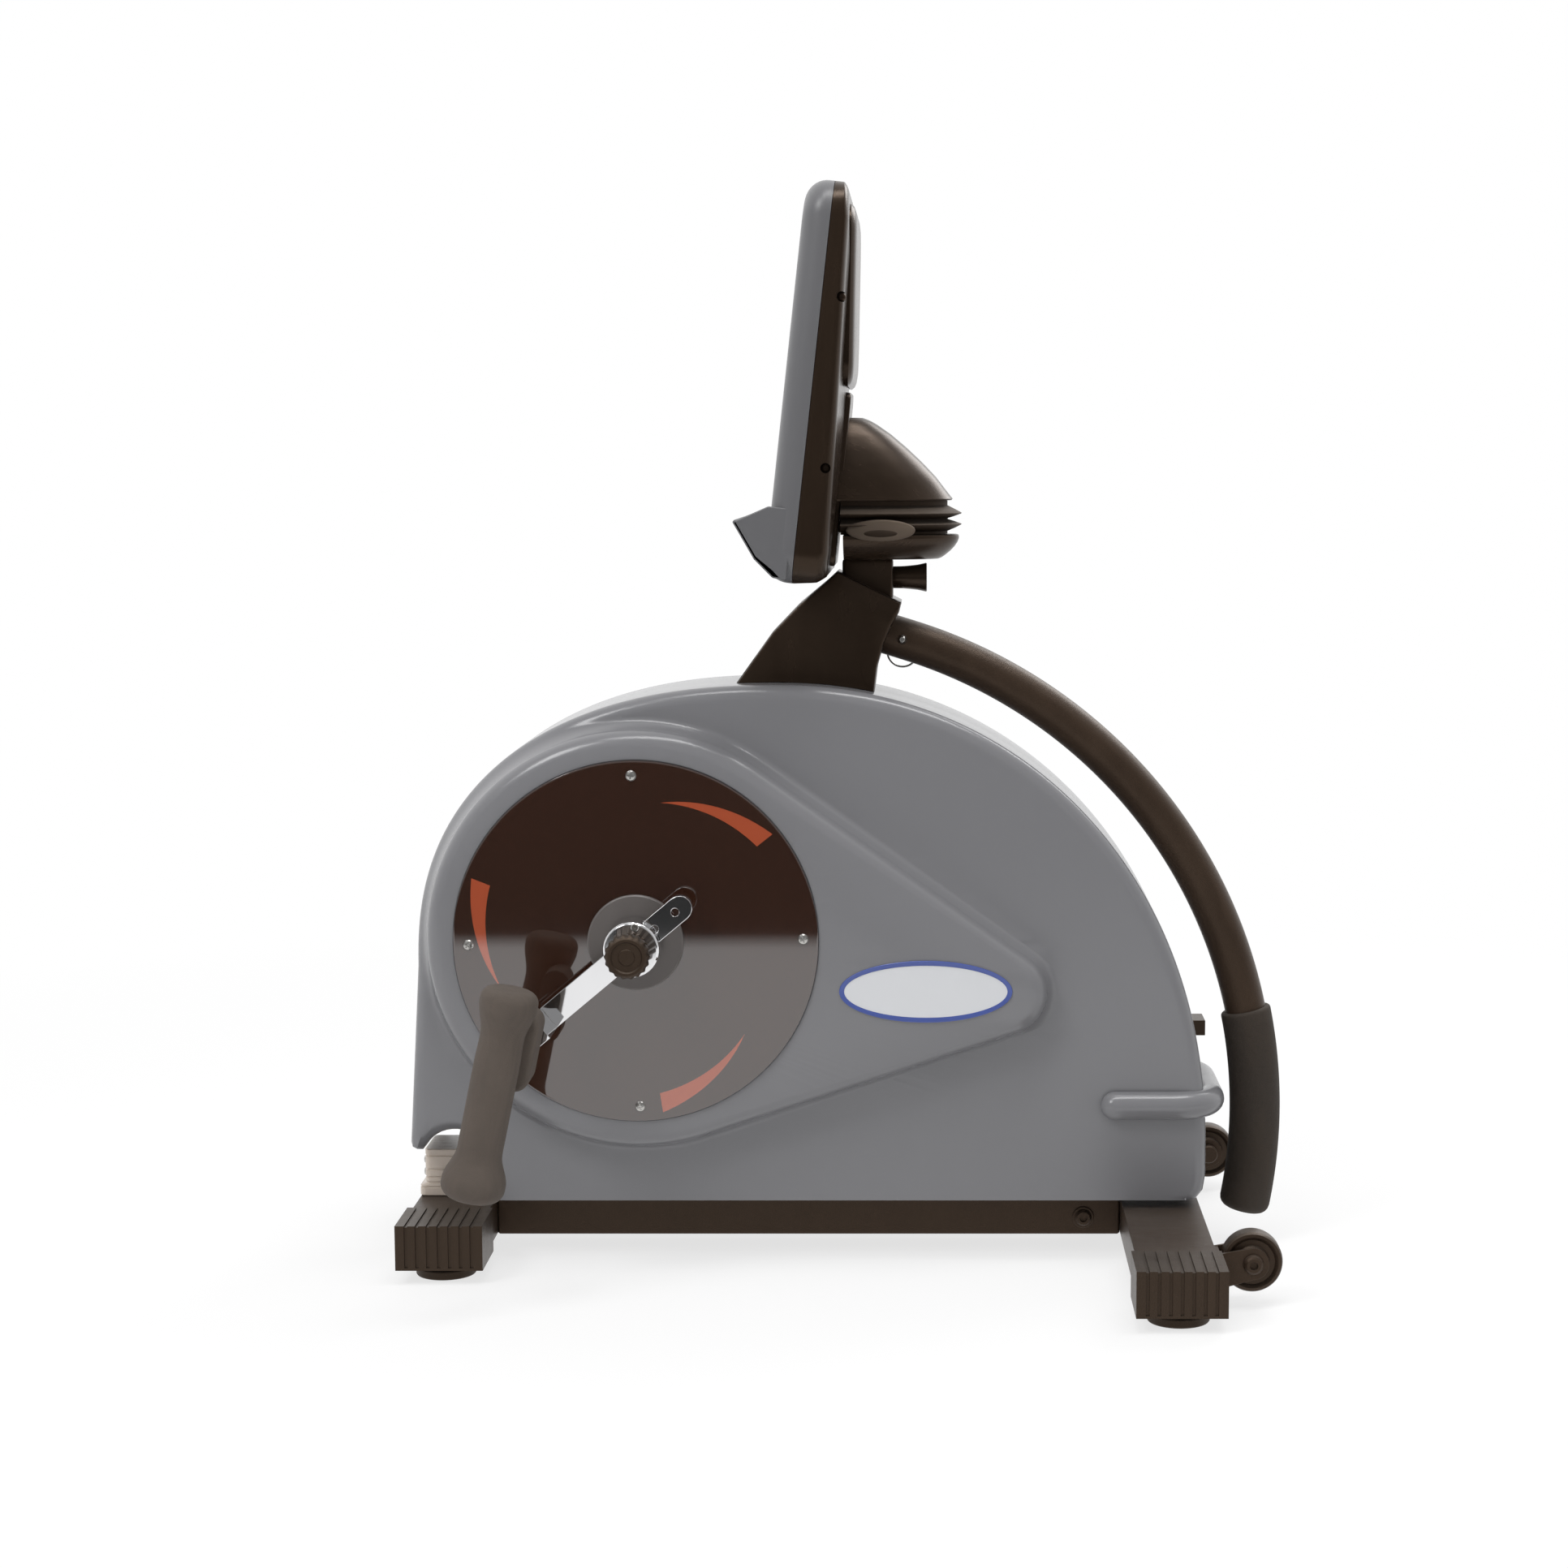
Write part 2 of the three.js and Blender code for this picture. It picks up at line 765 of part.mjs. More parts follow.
function buildRiser() {
  const front = -stabilizerWidth / 2 + riserFrontInset;
  const half = riserWidth / 2;
  const core = box(
    front + riserGrooveDepth,
    front + riserLength,
    -half + riserGrooveDepth,
    half - riserGrooveDepth,
    riserBottom,
    riserTop,
  );
  const pitch = (riserHeight + riserGrooveHeight) / riserRibs;
  const ribs = [];
  for (let i = 0; i < riserRibs; i++) {
    const z = riserBottom + i * pitch;
    const ribFront = i === 0 ? front - riserFlange : front;
    ribs.push(box(ribFront, front + riserLength, -half, half, z, z + pitch - riserGrooveHeight));
  }
  add(root, "front_riser", join(core, ...ribs), paleRibbed);
}

// Transport wheels

function wheelBracket() {
  const x = stabilizerSpacing + wheelSetback;
  const back = stabilizerSpacing + stabilizerWidth / 2 + fit;
  const inner = wheelTrack / 2 - wheelWidth / 2 - wheelSideGap;
  const outer = wheelTrack / 2 + wheelWidth / 2 + wheelSideGap;
  const through = bracketPlate + overrun;
  const tab = [
    [back, bracketTop],
    [back, bracketBottom],
    ...arcPoints(x, wheelHeight, bracketTabRadius, -90, 90, 8),
  ];
  return cut(
    join(
      prismAcross(tab, inner - bracketPlate, inner),
      prismAcross(tab, outer, outer + bracketPlate),
      box(back, back + bracketPlate, inner - bracketPlate, outer + bracketPlate, bracketBottom, bracketTop),
    ),
    pinAcross(x, wheelHeight, inner - through, outer + through, wheelBoltRadius + fit, 16),
  );
}

function wheel() {
  const half = wheelWidth / 2;
  const bore = wheelBoltRadius + fit;
  const profile = [
    [bore, -half],
    [wheelHubRadius, -half],
    [wheelHubRadius + wheelDish, -half + wheelDish],
    [wheelRadius - 2 * wheelEdge, -half + wheelDish],
    [wheelRadius - wheelEdge, -half],
    [wheelRadius, -half + wheelEdge],
    [wheelRadius, half - wheelEdge],
    [wheelRadius - wheelEdge, half],
    [wheelRadius - 2 * wheelEdge, half - wheelDish],
    [wheelHubRadius + wheelDish, half - wheelDish],
    [wheelHubRadius, half],
    [bore, half],
    [bore, -half],
  ];
  return turned(profile, 24);
}

function wheelBolt() {
  const half = wheelWidth / 2 + wheelSideGap + bracketPlate + fit;
  const profile = [
    [0, -half - wheelBoltTail],
    [wheelBoltHeadRadius, -half - wheelBoltTail],
    [wheelBoltHeadRadius, -half],
    [wheelBoltRadius, -half],
    [wheelBoltRadius, half],
    [wheelBoltHeadRadius, half],
    [wheelBoltHeadRadius - footEdge, half + wheelBoltHeadHeight],
    [0, half + wheelBoltHeadHeight],
  ];
  return turned(profile, 16);
}

function buildWheels() {
  addPair("wheel_bracket", wheelBracket(), blackSteel);
  for (const [side, sign] of [["near", -1], ["far", 1]]) {
    const pieces = [
      ["wheel_", wheel(), blackPlastic],
      ["wheel_bolt_", wheelBolt(), plainSteel],
    ];
    for (const [name, made, material] of pieces) {
      const mesh = add(root, name + side, made, material);
      mesh.position.set(stabilizerSpacing + wheelSetback, (sign * wheelTrack) / 2, wheelHeight);
      mesh.scale.y = sign;
    }
  }
}

// Casing

// A quarter of a superellipse, from its end at the side to its crown or back.
function shoulder(cx, cz, reach, rise, squareness, from, to, steps) {
  const points = [];
  for (let i = 0; i <= steps; i++) {
    const turn = (from + ((to - from) * i) / steps) * degree;
    const [c, s] = [Math.cos(turn), Math.sin(turn)];
    points.push([
      cx + reach * Math.sign(c) * Math.abs(c) ** (2 / squareness),
      cz + rise * Math.abs(s) ** (2 / squareness),
    ]);
  }
  return points;
}

function casingOutline(inset, floor) {
  const notchWidth = notchRadius + inset;
  const lobeDepth = casingLobeBottom + inset;
  const dip = Math.asin((lobeDepth - notchHeight) / notchWidth) / degree;
  const round = Math.max(casingLobeRound - inset, fit);
  const lobeEdge = notchSetback - notchWidth * Math.cos(dip * degree) - 2 * round;
  const lobeFront = Math.min(casingFront - casingFrontRake + inset, lobeEdge);
  return [
    [notchSetback + notchWidth, floor],
    [casingRear - casingRearTuck - inset, floor],
    [casingRear - casingRearTuck / 3 - inset, casingBottom + casingRearCorner / 3],
    [casingRear - inset, casingBottom + casingRearCorner],
    ...shoulder(
      casingTopSetback,
      casingRearShoulder,
      casingRearReach - inset,
      casingTop - casingRearShoulder - inset,
      casingRearSquareness,
      0,
      90,
      17,
    ),
    ...shoulder(
      casingTopSetback,
      casingFrontShoulder,
      casingFrontReach - inset,
      casingTop - casingFrontShoulder - inset,
      casingFrontSquareness,
      90,
      180,
      14,
    ).slice(1),
    ...arcPoints(lobeFront + round, lobeDepth + round, round, 180, 270, 2),
    ...arcPoints(notchSetback, notchHeight, notchWidth, 180 - dip, 0, 9),
  ];
}

function bossOutline(inset) {
  return beltOutline(crankAxis, bossRadius - inset, bossNoseAxis, bossNoseRadius - inset, 36, 8);
}

// The far half of the lift handle: along the side, round the corner and across the rear.
function liftHandle() {
  const bend = liftHandleBend;
  const path = new THREE.Path();
  path.moveTo(liftHandleStart + liftHandleRadius, liftHandleSideReach);
  path.lineTo(liftHandleRearReach - bend, liftHandleSideReach);
  path.absarc(liftHandleRearReach - bend, liftHandleSideReach - bend, bend, Math.PI / 2, 0, true);
  path.lineTo(liftHandleRearReach, seamGap);
  const sides = 12;
  const stationShares = [0, 0.4, 0.5, 0.6, 0.7, 0.8, 1];
  const rings = stationShares.map((share) => {
    const at = path.getPointAt(share);
    const way = path.getTangentAt(share);
    const points = [];
    for (let i = 0; i < sides; i++) {
      const turn = (i / sides) * 2 * Math.PI;
      const [out, up] = [liftHandleRadius * Math.cos(turn), liftHandleRadius * Math.sin(turn)];
      points.push(new THREE.Vector3(at.x - way.y * out, at.y + way.x * out, liftHandleHeight + up));
    }
    return points;
  });
  const web = box(
    casingRear - casingWall,
    liftHandleRearReach,
    seamGap,
    casingHalfWidth - casingRound,
    liftHandleHeight - liftHandleWeb / 2,
    liftHandleHeight + liftHandleWeb / 2,
  );
  const end = solid(
    new THREE.SphereGeometry(liftHandleRadius, 12, 8)
      .rotateX(Math.PI / 2)
      .translate(liftHandleStart + liftHandleRadius, liftHandleSideReach, liftHandleHeight),
  );
  // The first ring lies square to x, and the last one square to y.
  const flat = (p) => new THREE.Vector2(p.z, Math.abs(p.x - rings[0][0].x) < fit ? p.y : p.x + p.y);
  return join(loft(rings, flat), web, end);
}

function mastBlock(grow, bottom, top) {
  const half = mastSide / 2 + grow;
  const across = half / Math.cos(mastLean * degree);
  const outline = [
    [mastCentreAt(bottom) - across, bottom],
    [mastCentreAt(bottom) + across, bottom],
    [mastCentreAt(top) + across, top],
    [mastCentreAt(top) - across, top],
  ];
  return prismAcross(outline, -half, half);
}

function inletBlock(grow) {
  const half = inletWidth / 2 + grow;
  const [z0, z1] = [inletCentreHeight - inletHeight / 2 - grow, inletCentreHeight + inletHeight / 2 + grow];
  return box(inletRear - inletLength - grow, inletRear + grow, -half, half, z0, z1);
}

function shell() {
  const outer = join(
    roundedPrism((inset) => casingOutline(inset, casingBottom), seamGap, casingHalfWidth, casingRound, 3),
    roundedPrism(bossOutline, casingHalfWidth / 2, bossReach, bossRound, 3),
    liftHandle(),
  );
  const skinRound = casingRound - casingWall;
  const inside = roundedPrism(
    (inset) => casingOutline(inset + casingWall, casingBottom - overrun),
    -overrun,
    casingHalfWidth - casingWall,
    skinRound,
    2,
  );
  const bossInside = roundedPrism(
    (inset) => bossOutline(inset + casingWall),
    casingHalfWidth / 2,
    bossReach - casingWall,
    bossRound - casingWall,
    2,
  );
  const seatBack = bossReach - discSeatDepth;
  const discSeat = pinAcross(...crankAxis, seatBack, bossReach + overrun, discRadius + fit, 64);
  const shaftHole = pinAcross(...crankAxis, casingHalfWidth, bossReach + overrun, bossShaftHole, 24);
  const hollow = cut(outer, inside, bossInside, discSeat, shaftHole);
  const [pillarStart, pillarEnd] = [mastSide / 2 + fit, casingHalfWidth - casingWall / 2];
  const pillars = [pillarLowHeight, pillarHighHeight].map((height) =>
    pinAcross(mastCentreAt(height), height, pillarStart, pillarEnd, pillarRadius, 12),
  );
  return cut(join(hollow, ...pillars), mastBlock(fit, tubeUnderside, mastTopHeight), inletBlock(fit));
}

function coverDisc() {
  const [back, front] = [bossReach - discSeatDepth + fit, bossReach - discSeatDepth + fit + discThickness];
  const bore = shaftRadius + hubChamfer;
  const profile = [
    [bore, back],
    [discRadius, back],
    [discRadius, front - discEdge],
    [discRadius - discEdge, front],
    [discRingRadius, front],
    [discRingRadius - discEdge, front + discRingHeight],
    [bore, front + discRingHeight],
    [bore, back],
  ];
  const disc = turnedGeometry(profile, 56);
  return solid(disc.translate(crankSetback, 0, crankHeight));
}

function buildCasing() {
  addPair("casing", shell(), bluePlastic);
  addPair("cover_disc", coverDisc(), darkDisc);
  const socketHalf = inletWidth / 2 - inletSocketRim;
  const inlet = cut(
    inletBlock(0),
    box(
      inletRear - inletSocketDepth,
      inletRear + overrun,
      -socketHalf,
      socketHalf,
      inletCentreHeight - inletHeight / 2 + inletSocketRim,
      inletCentreHeight + inletHeight / 2 - inletSocketRim,
    ),
  );
  add(root, "power_inlet", inlet, blackPlastic);
}

// Mast and crank bearing

// A point on the arm's straight start, so far before (-) or after the arc begins.
function pointOnArmSocket(distance) {
  return new THREE.Vector3(
    armSocketSetback + Math.sin(armStartTurn) * distance,
    0,
    armSocketHeight - Math.cos(armStartTurn) * distance,
  );
}

function armPinHole(radius) {
  const at = pointOnArmSocket(-lockPinFromBend);
  return pinAcross(at.x, at.z, -armRadius - overrun, armRadius + overrun, radius, 12);
}

function mastPost() {
  const bottom = tubeTop + fit;
  const hollow = cut(
    mastBlock(0, bottom, mastTopHeight),
    mastBlock(-mastWall, bottom - overrun, mastTopHeight - mastSide),
  );
  const lug = join(
    box(
      lugSetback - tiltEarRadius,
      lugSetback + tiltEarRadius,
      -lugWidth / 2,
      lugWidth / 2,
      mastTopHeight - lugRootDrop,
      tiltHeight,
    ),
    pinAcross(lugSetback, tiltHeight, -lugWidth / 2, lugWidth / 2, tiltEarRadius, 20),
  );
  const stub = rod(
    pointOnArmSocket(-armSocket - armRadius),
    pointOnArmSocket(-stubGap),
    armRadius - armWall - stubGap,
    16,
  );
  const shellHalf = bearingShellHalfLength;
  const shellTube = pinAcross(...crankAxis, -shellHalf, shellHalf, bearingShellRadius, 28);
  return { hollow, lug, stub, shellTube };
}

function buildMast() {
  const parts = mastPost();
  const stemHole = rod(
    new THREE.Vector3(lugSetback + tiltEarRadius - tiltKnobStemDepth, 0, tiltKnobHeight),
    new THREE.Vector3(lugSetback + tiltEarRadius + overrun, 0, tiltKnobHeight),
    tiltKnobStem + fit,
    12,
  );
  const boreHalf = bearingHalfLength + overrun;
  const mast = cut(
    join(parts.hollow, parts.lug, parts.stub, parts.shellTube),
    pinAcross(...crankAxis, -boreHalf, boreHalf, bearingRadius + fit, 24),
    pinAcross(lugSetback, tiltHeight, -lugWidth, lugWidth, tiltPinRadius + fit, 16),
    stemHole,
    armPinHole(lockPinRadius + fit),
  );
  add(root, "mast_post", mast, blackSteel);
  const bearing = turnedGeometry(
    [
      [shaftRadius + fit, -bearingHalfLength],
      [bearingRadius, -bearingHalfLength],
      [bearingRadius, bearingHalfLength],
      [shaftRadius + fit, bearingHalfLength],
      [shaftRadius + fit, -bearingHalfLength],
    ],
    24,
  );
  add(root, "crank_bearing", solid(bearing), plainSteel).position.set(crankSetback, 0, crankHeight);
}

// Belt drive, flywheel and brake

function buildDrive() {
  const shaft = pinAcross(...crankAxis, -shaftReach, shaftReach, shaftRadius, 20);
  add(root, "crank_shaft", shaft, plainSteel);

  const [rimBack, rimFront] = [-drivePulleyWidth / 2, drivePulleyWidth / 2];
  const bore = shaftRadius + fit;
  const pulley = turned(
    [
      [bore, rimBack],
      [drivePulleyHubRadius, rimBack],
      [drivePulleyHubRadius, -drivePulleyWeb / 2],
      [drivePulleyRadius - drivePulleyRim, -drivePulleyWeb / 2],
      [drivePulleyRadius - drivePulleyRim, rimBack],
      [drivePulleyRadius, rimBack],
      [drivePulleyRadius, rimFront],
      [drivePulleyRadius - drivePulleyRim, rimFront],
      [drivePulleyRadius - drivePulleyRim, drivePulleyWeb / 2],
      [drivePulleyHubRadius, drivePulleyWeb / 2],
      [drivePulleyHubRadius, rimFront],
      [bore, rimFront],
      [bore, rimBack],
    ],
    32,
  );
  add(root, "drive_pulley", pulley, blackPlastic).position.set(crankSetback, -beltCentre, crankHeight);

  const belt = (grow) =>
    beltOutline(crankAxis, drivePulleyRadius + grow, flywheelAxis, smallPulleyRadius + grow, 32, 8);
  const [beltNear, beltFar] = [-beltCentre - beltWidth / 2, -beltCentre + beltWidth / 2];
  const clearance = 2 * fit;
  const band = cut(
    prismAcross(belt(clearance + beltThickness), beltNear, beltFar),
    prismAcross(belt(clearance), beltNear - overrun, beltFar + overrun),
  );
  add(root, "drive_belt", band, blackPlastic);

  const half = flywheelWidth / 2;
  const axleBore = axleRadius + fit;
  const wheelBody = turned(
    [
      [axleBore, -half],
      [flywheelHubRadius, -half],
      [flywheelHubRadius, -flywheelWeb / 2],
      [flywheelRadius - flywheelRim, -flywheelWeb / 2],
      [flywheelRadius - flywheelRim, -half],
      [flywheelRadius, -half],
      [flywheelRadius, half],
      [flywheelRadius - flywheelRim, half],
      [flywheelRadius - flywheelRim, flywheelWeb / 2],
      [flywheelHubRadius, flywheelWeb / 2],
      [flywheelHubRadius, half],
      [axleBore, half],
      [axleBore, -half],
    ],
    32,
  );
  add(root, "flywheel", wheelBody, plainSteel).position.set(flywheelSetback, 0, flywheelHeight);

  const pulleyHalf = drivePulleyWidth / 2;
  const axle = join(
    pinAcross(...flywheelAxis, -beltCentre - pulleyHalf, axleReach, axleRadius, 16),
    pinAcross(...flywheelAxis, -beltCentre - pulleyHalf, -beltCentre + pulleyHalf, smallPulleyRadius, 24),
  );
  add(root, "flywheel_axle", axle, plainSteel);
}

const brakePivot = [
  flywheelSetback + brakePivotDistance * Math.cos(brakePivotAngle * degree),
  flywheelHeight + brakePivotDistance * Math.sin(brakePivotAngle * degree),
];

function flywheelPlateSolid(y0, y1) {
  const halfFoot = flywheelFootLength / 2;
  const web = [
    [flywheelSetback - halfFoot, flywheelFootHeight],
    [flywheelSetback + halfFoot, flywheelFootHeight],
    ...arcPoints(...flywheelAxis, flywheelPlateRound, 0, 180, 10),
  ];
  const arm = beltOutline(flywheelAxis, flywheelPlateRound, brakePivot, brakeEarRadius, 10, 6);
  return join(prismAcross(web, y0, y1), prismAcross(arm, y0, y1));
}

function buildFlywheelSupport() {
  const reach = flywheelPlateReach + flywheelPlate;
  const halfFoot = flywheelFootLength / 2;
  const halfPedestal = pedestalLength / 2;
  const frame = join(
    flywheelPlateSolid(-reach, -flywheelPlateReach),
    flywheelPlateSolid(flywheelPlateReach, reach),
    box(
      flywheelSetback - halfFoot,
      flywheelSetback + halfFoot,
      -reach,
      reach,
      flywheelFootHeight - flywheelPlate,
      flywheelFootHeight,
    ),
    box(
      flywheelSetback - halfPedestal,
      flywheelSetback + halfPedestal,
      -pedestalWidth / 2,
      pedestalWidth / 2,
      tubeTop + fit,
      flywheelFootHeight - flywheelPlate / 2,
    ),
  );
  const through = reach + overrun;
  const bracket = cut(
    frame,
    pinAcross(...flywheelAxis, -through, through, axleRadius + fit, 16),
    pinAcross(...brakePivot, -through, through, brakePinRadius + fit, 12),
  );
  add(root, "flywheel_bracket", bracket, blackSteel);

  const inner = flywheelRadius + brakeGap;
  const outer = inner + brakeThickness;
  const channel = [
    ...arcPoints(...flywheelAxis, inner, brakePivotAngle, brakeEndAngle, 10),
    ...arcPoints(...flywheelAxis, outer, brakeEndAngle, brakePivotAngle, 10),
  ];
  const brake = join(
    prismAcross(channel, -brakeWidth / 2, brakeWidth / 2),
    pinAcross(...brakePivot, -brakeWidth / 2, brakeWidth / 2, brakeEarRadius, 16),
    pinAcross(...brakePivot, -reach - flywheelPlate, reach + flywheelPlate, brakePinRadius, 12),
  );
  const rimSweep = pinAcross(...flywheelAxis, -brakeWidth, brakeWidth, inner, 80);
  add(root, "brake_bracket", cut(brake, rimSweep), plainSteel);

  const motorTop = flywheelHeight - motorDrop + motorHeight / 2;
  const motor = box(
    flywheelSetback - motorLength / 2,
    flywheelSetback + motorLength / 2,
    reach + fit,
    reach + fit + motorDepth,
    motorTop - motorHeight,
    motorTop,
  );
  add(root, "brake_motor", motor, blackPlastic);
}

// Cranks. Local axes: x along the bar, y away from the casing, z across the bar.

function alongPin(y) {
  return new THREE.Vector3(0, y, 0);
}

function crankHub() {
  const bore = shaftRadius + fit;
  const boreEnd = shaftReach + fit;
  const body = turned(
    [
      [bore, hubStart],
      [hubRadius, hubStart],
      [hubRadius, hubEnd - hubChamfer],
      [hubRadius - hubChamfer, hubEnd],
      [0, hubEnd],
      [0, boreEnd],
      [bore, boreEnd],
      [bore, hubStart],
    ],
    32,
  );
  const through = hubRadius + overrun;
  const slotHalf = barWidth / 2 + fit;
  return cut(
    body,
    box(-through, through, barStart - fit, barStart + barThickness + fit, -slotHalf, slotHalf),
    rod(alongPin(barStart), alongPin(hubEnd + overrun), clampScrewRadius + fit, 12),
  );
}

function flatBar(from, to, y0, y1, roundFrom, roundTo) {
  const half = barWidth / 2;
  const start = roundFrom ? arcPoints(from + half, 0, half, 90, 270, 8) : [[from, half], [from, -half]];
  const end = roundTo ? arcPoints(to - half, 0, half, -90, 90, 8) : [[to, -half], [to, half]];
  return prismAcross([...start, ...end], y0, y1);
}

function crankArm() {
  const barEnd = barStart + barThickness;
  const riser = barJoggleAt + barThickness;
  const body = join(
    flatBar(-barTail, riser, barStart, barEnd, true, false),
    flatBar(barJoggleAt, riser, barStart, pivotReach, false, false),
    flatBar(barJoggleAt, crankLength + barTip, pivotReach - barThickness, pivotReach, false, true),
    pinAcross(crankLength, 0, pivotReach - barThickness / 2, pivotReach + studReach, studRadius, 16),
  );
  const holes = [];
  for (let i = 0; i < barHoles; i++) {
    const x = -barHoleFirst + i * barHolePitch;
    holes.push(pinAcross(x, 0, barStart - overrun, barEnd + overrun, barHoleRadius, 12));
  }
  return cut(body, ...holes);
}

function clampKnob() {
  const tip = barStart + barThickness + 2 * fit;
  return turned(
    [
      [0, tip],
      [clampScrewRadius, tip],
      [clampScrewRadius, clampKnobStart],
      [clampKnobRadius - clampKnobEdge, clampKnobStart],
      [clampKnobRadius, clampKnobStart + clampKnobEdge],
      [clampKnobRadius, clampKnobEnd - clampKnobEdge],
      [clampKnobRadius - clampKnobEdge, clampKnobEnd],
      [clampKnobRadius - 2 * clampKnobEdge, clampKnobEnd - clampKnobFace],
      [0, clampKnobEnd - clampKnobFace],
    ],
    24,
  );
}

// Handle. Local axes from the swivel: x to the rear of the grip, y away from the casing, z up the grip.

function gripCore(grow) {
  const x = -gripAxisOffset;
  const top = gripTop - gripCoreEndCover + grow;
  const bottom = gripBottom + gripCoreEndCover - grow;
  const core = rod(
    new THREE.Vector3(x, gripAxisReach, bottom),
    new THREE.Vector3(x, gripAxisReach, top),
    gripCoreRadius + grow,
    12,
  );
  const neckHalf = neckHeight / 2 + grow;
  const neck = box(
    x - neckWidth / 2 - grow,
    x + neckWidth / 2 + grow,
    carrierEnd - carrierRound,
    gripAxisReach,
    -neckHalf,
    neckHalf,
  );
  return join(core, neck);
}

function carrierOutline(inset) {
  return [
    ...arcPoints(0, carrierRise, carrierRadius - inset, 0, 180, 8),
    ...arcPoints(0, -carrierDrop, carrierRadius - inset, 180, 360, 8),
  ];
}

function handleCarrier() {
  const housing = roundedPrism(carrierOutline, carrierStart, carrierEnd, carrierRound, 2);
  const boreEnd = pivotReach + studReach + fit;
  return cut(
    join(housing, gripCore(0)),
    pinAcross(0, 0, carrierStart - overrun, boreEnd, studRadius + fit, 16),
  );
}

function gripSleeve() {
  const [length, middle] = [gripTop - gripBottom, gripRadius];
  const flare = [gripTopRadius - middle, gripBottomRadius - middle];
  const mouthShare = 0.75;
  const crownShare = 0.85;
  const swellShares = [
    [0, 0.55, 1],
    [0.02, 0.87, 1],
    [0.06, 1, 1],
    [0.1, 0.88, 1],
    [0.16, 0.28, 1],
    [0.23, 0, 1],
    [0.75, 0, 0],
    [0.86, 0.3, 0],
    [0.91, 0.8, 0],
    [0.95, 1, 0],
    [0.98, 0.7, 0],
  ];
  const profile = swellShares.map(([along, swell, end]) => [
    middle + flare[end] * swell,
    gripBottom + length * along,
  ]);
  profile[0][0] -= middle * (1 - mouthShare);
  const closed = [[0, gripBottom], ...profile, [middle * crownShare, gripTop], [0, gripTop]];
  const sleeve = turnedGeometry(closed, 20).rotateX(Math.PI / 2);
  sleeve.translate(-gripAxisOffset, gripAxisReach, 0);
  const housingGap = prismAcross(carrierOutline(-fit), carrierStart, carrierEnd + fit);
  return cut(solid(sleeve), gripCore(fit), housingGap);
}

function buildCranks() {
  const turn = crankAngle * degree;
  for (const [side, sign] of [["near", -1], ["far", 1]]) {
    const along = new THREE.Vector3(sign * Math.cos(turn), 0, sign * Math.sin(turn));
    const outward = new THREE.Vector3(0, sign, 0);
    const across = along.clone().cross(outward);
    const crank = new THREE.Group();
    crank.quaternion.setFromRotationMatrix(new THREE.Matrix4().makeBasis(along, outward, across));
    crank.position.set(crankSetback, 0, crankHeight);
    add(crank, "crank_hub_" + side, crankHub(), chrome);
    add(crank, "crank_arm_" + side, crankArm(), chrome);
    add(crank, "clamp_knob_" + side, clampKnob(), blackPlastic);
    root.add(crank);

    const handle = new THREE.Group();
    handle.position.copy(crank.position).addScaledVector(along, crankLength);
    handle.rotation.y = handleLean * degree;
    handle.scale.y = sign;
    add(handle, "handle_carrier_" + side, handleCarrier(), foam);
    add(handle, "grip_" + side, gripSleeve(), foam);
    root.add(handle);
  }
}

// Mast cover

function mastCoverOutline() {
  const outlineShares = [
    [0, 0],
    [0.134, 0.212],
    [0.329, 0.58],
    [0.465, 0.77],
    [0.613, 0.934],
    [0.666, 1],
    [0.9973, 0.782],
    [0.985, 0.718],
    [0.945, 0.62],
    [0.907, 0.5],
    [0.872, 0.335],
    [0.852, 0.113],
    [0.85, 0],
  ];
  return scaledOutline(outlineShares, mastCoverSetback, mastCoverFloor, mastCoverLength, mastCoverHeight);
}

function buildMastCover() {
  const outline = mastCoverOutline();
  const layer = (inset) => insetOutline(outline, inset);
  const halfCover = roundedPrism(layer, 0, mastCoverHalfWidth, mastCoverRound, 2);
  const otherHalf = prismAcross(outline, -mastCoverHalfWidth + mastCoverRound, 0);
  const nearRound = solid(geometryOf(halfCover).scale(1, -1, 1));
  const inner = insetOutline(outline, mastCoverWall).map(([x, z], i, all) =>
    i === 0 || i === all.length - 1 ? [x, z - 2 * mastCoverWall] : [x, z],
  );
  const innerHalf = mastCoverHalfWidth - mastCoverWall;
  const envelope = prismAcross(
    casingOutline(-fit, casingBottom),
    -mastCoverHalfWidth - overrun,
    mastCoverHalfWidth + overrun,
  );
  const lugSlot = box(
    lugSetback - tiltEarRadius - 2 * fit,
    lugSetback + tiltEarRadius + 2 * fit,
    -lugWidth / 2 - 2 * fit,
    lugWidth / 2 + 2 * fit,
    mastTopHeight - lugRootDrop,
    tiltHeight,
  );
  const armHole = rod(pointOnArmSocket(-armSocket), pointOnArmSocket(armSocket), armRadius + 2 * fit, 20);
  const cover = cut(
    join(halfCover, otherHalf, nearRound),
    prismAcross(inner, -innerHalf, innerHalf),
    envelope,
    lugSlot,
    armHole,
  );
  add(root, "mast_cover", cover, blackPlastic);
}

// Console. Local axes: x towards the back (t), y across, z up (s).

// An outline in y and z, extruded towards +x or -x with its far edge rounded.
function across(outlineYZ, start, end, radius, steps) {
  const sign = Math.sign(end - start);
  const made = roundedPrism(outlineYZ, 0, Math.abs(end - start), radius, steps);
  const geometry = geometryOf(made);
  const position = geometry.getAttribute("position");
  for (let i = 0; i < position.count; i++) {
    const [x, y] = [position.getX(i), position.getY(i)];
    position.setXY(i, start + sign * y, x);
  }
  return solid(geometry);
}

function consoleOutline(inset) {
  const half = consoleWidth / 2 - inset;
  return rectangleOutline(-half, half, inset, consoleLength - inset, consoleCorner - inset / 2, 4);
}

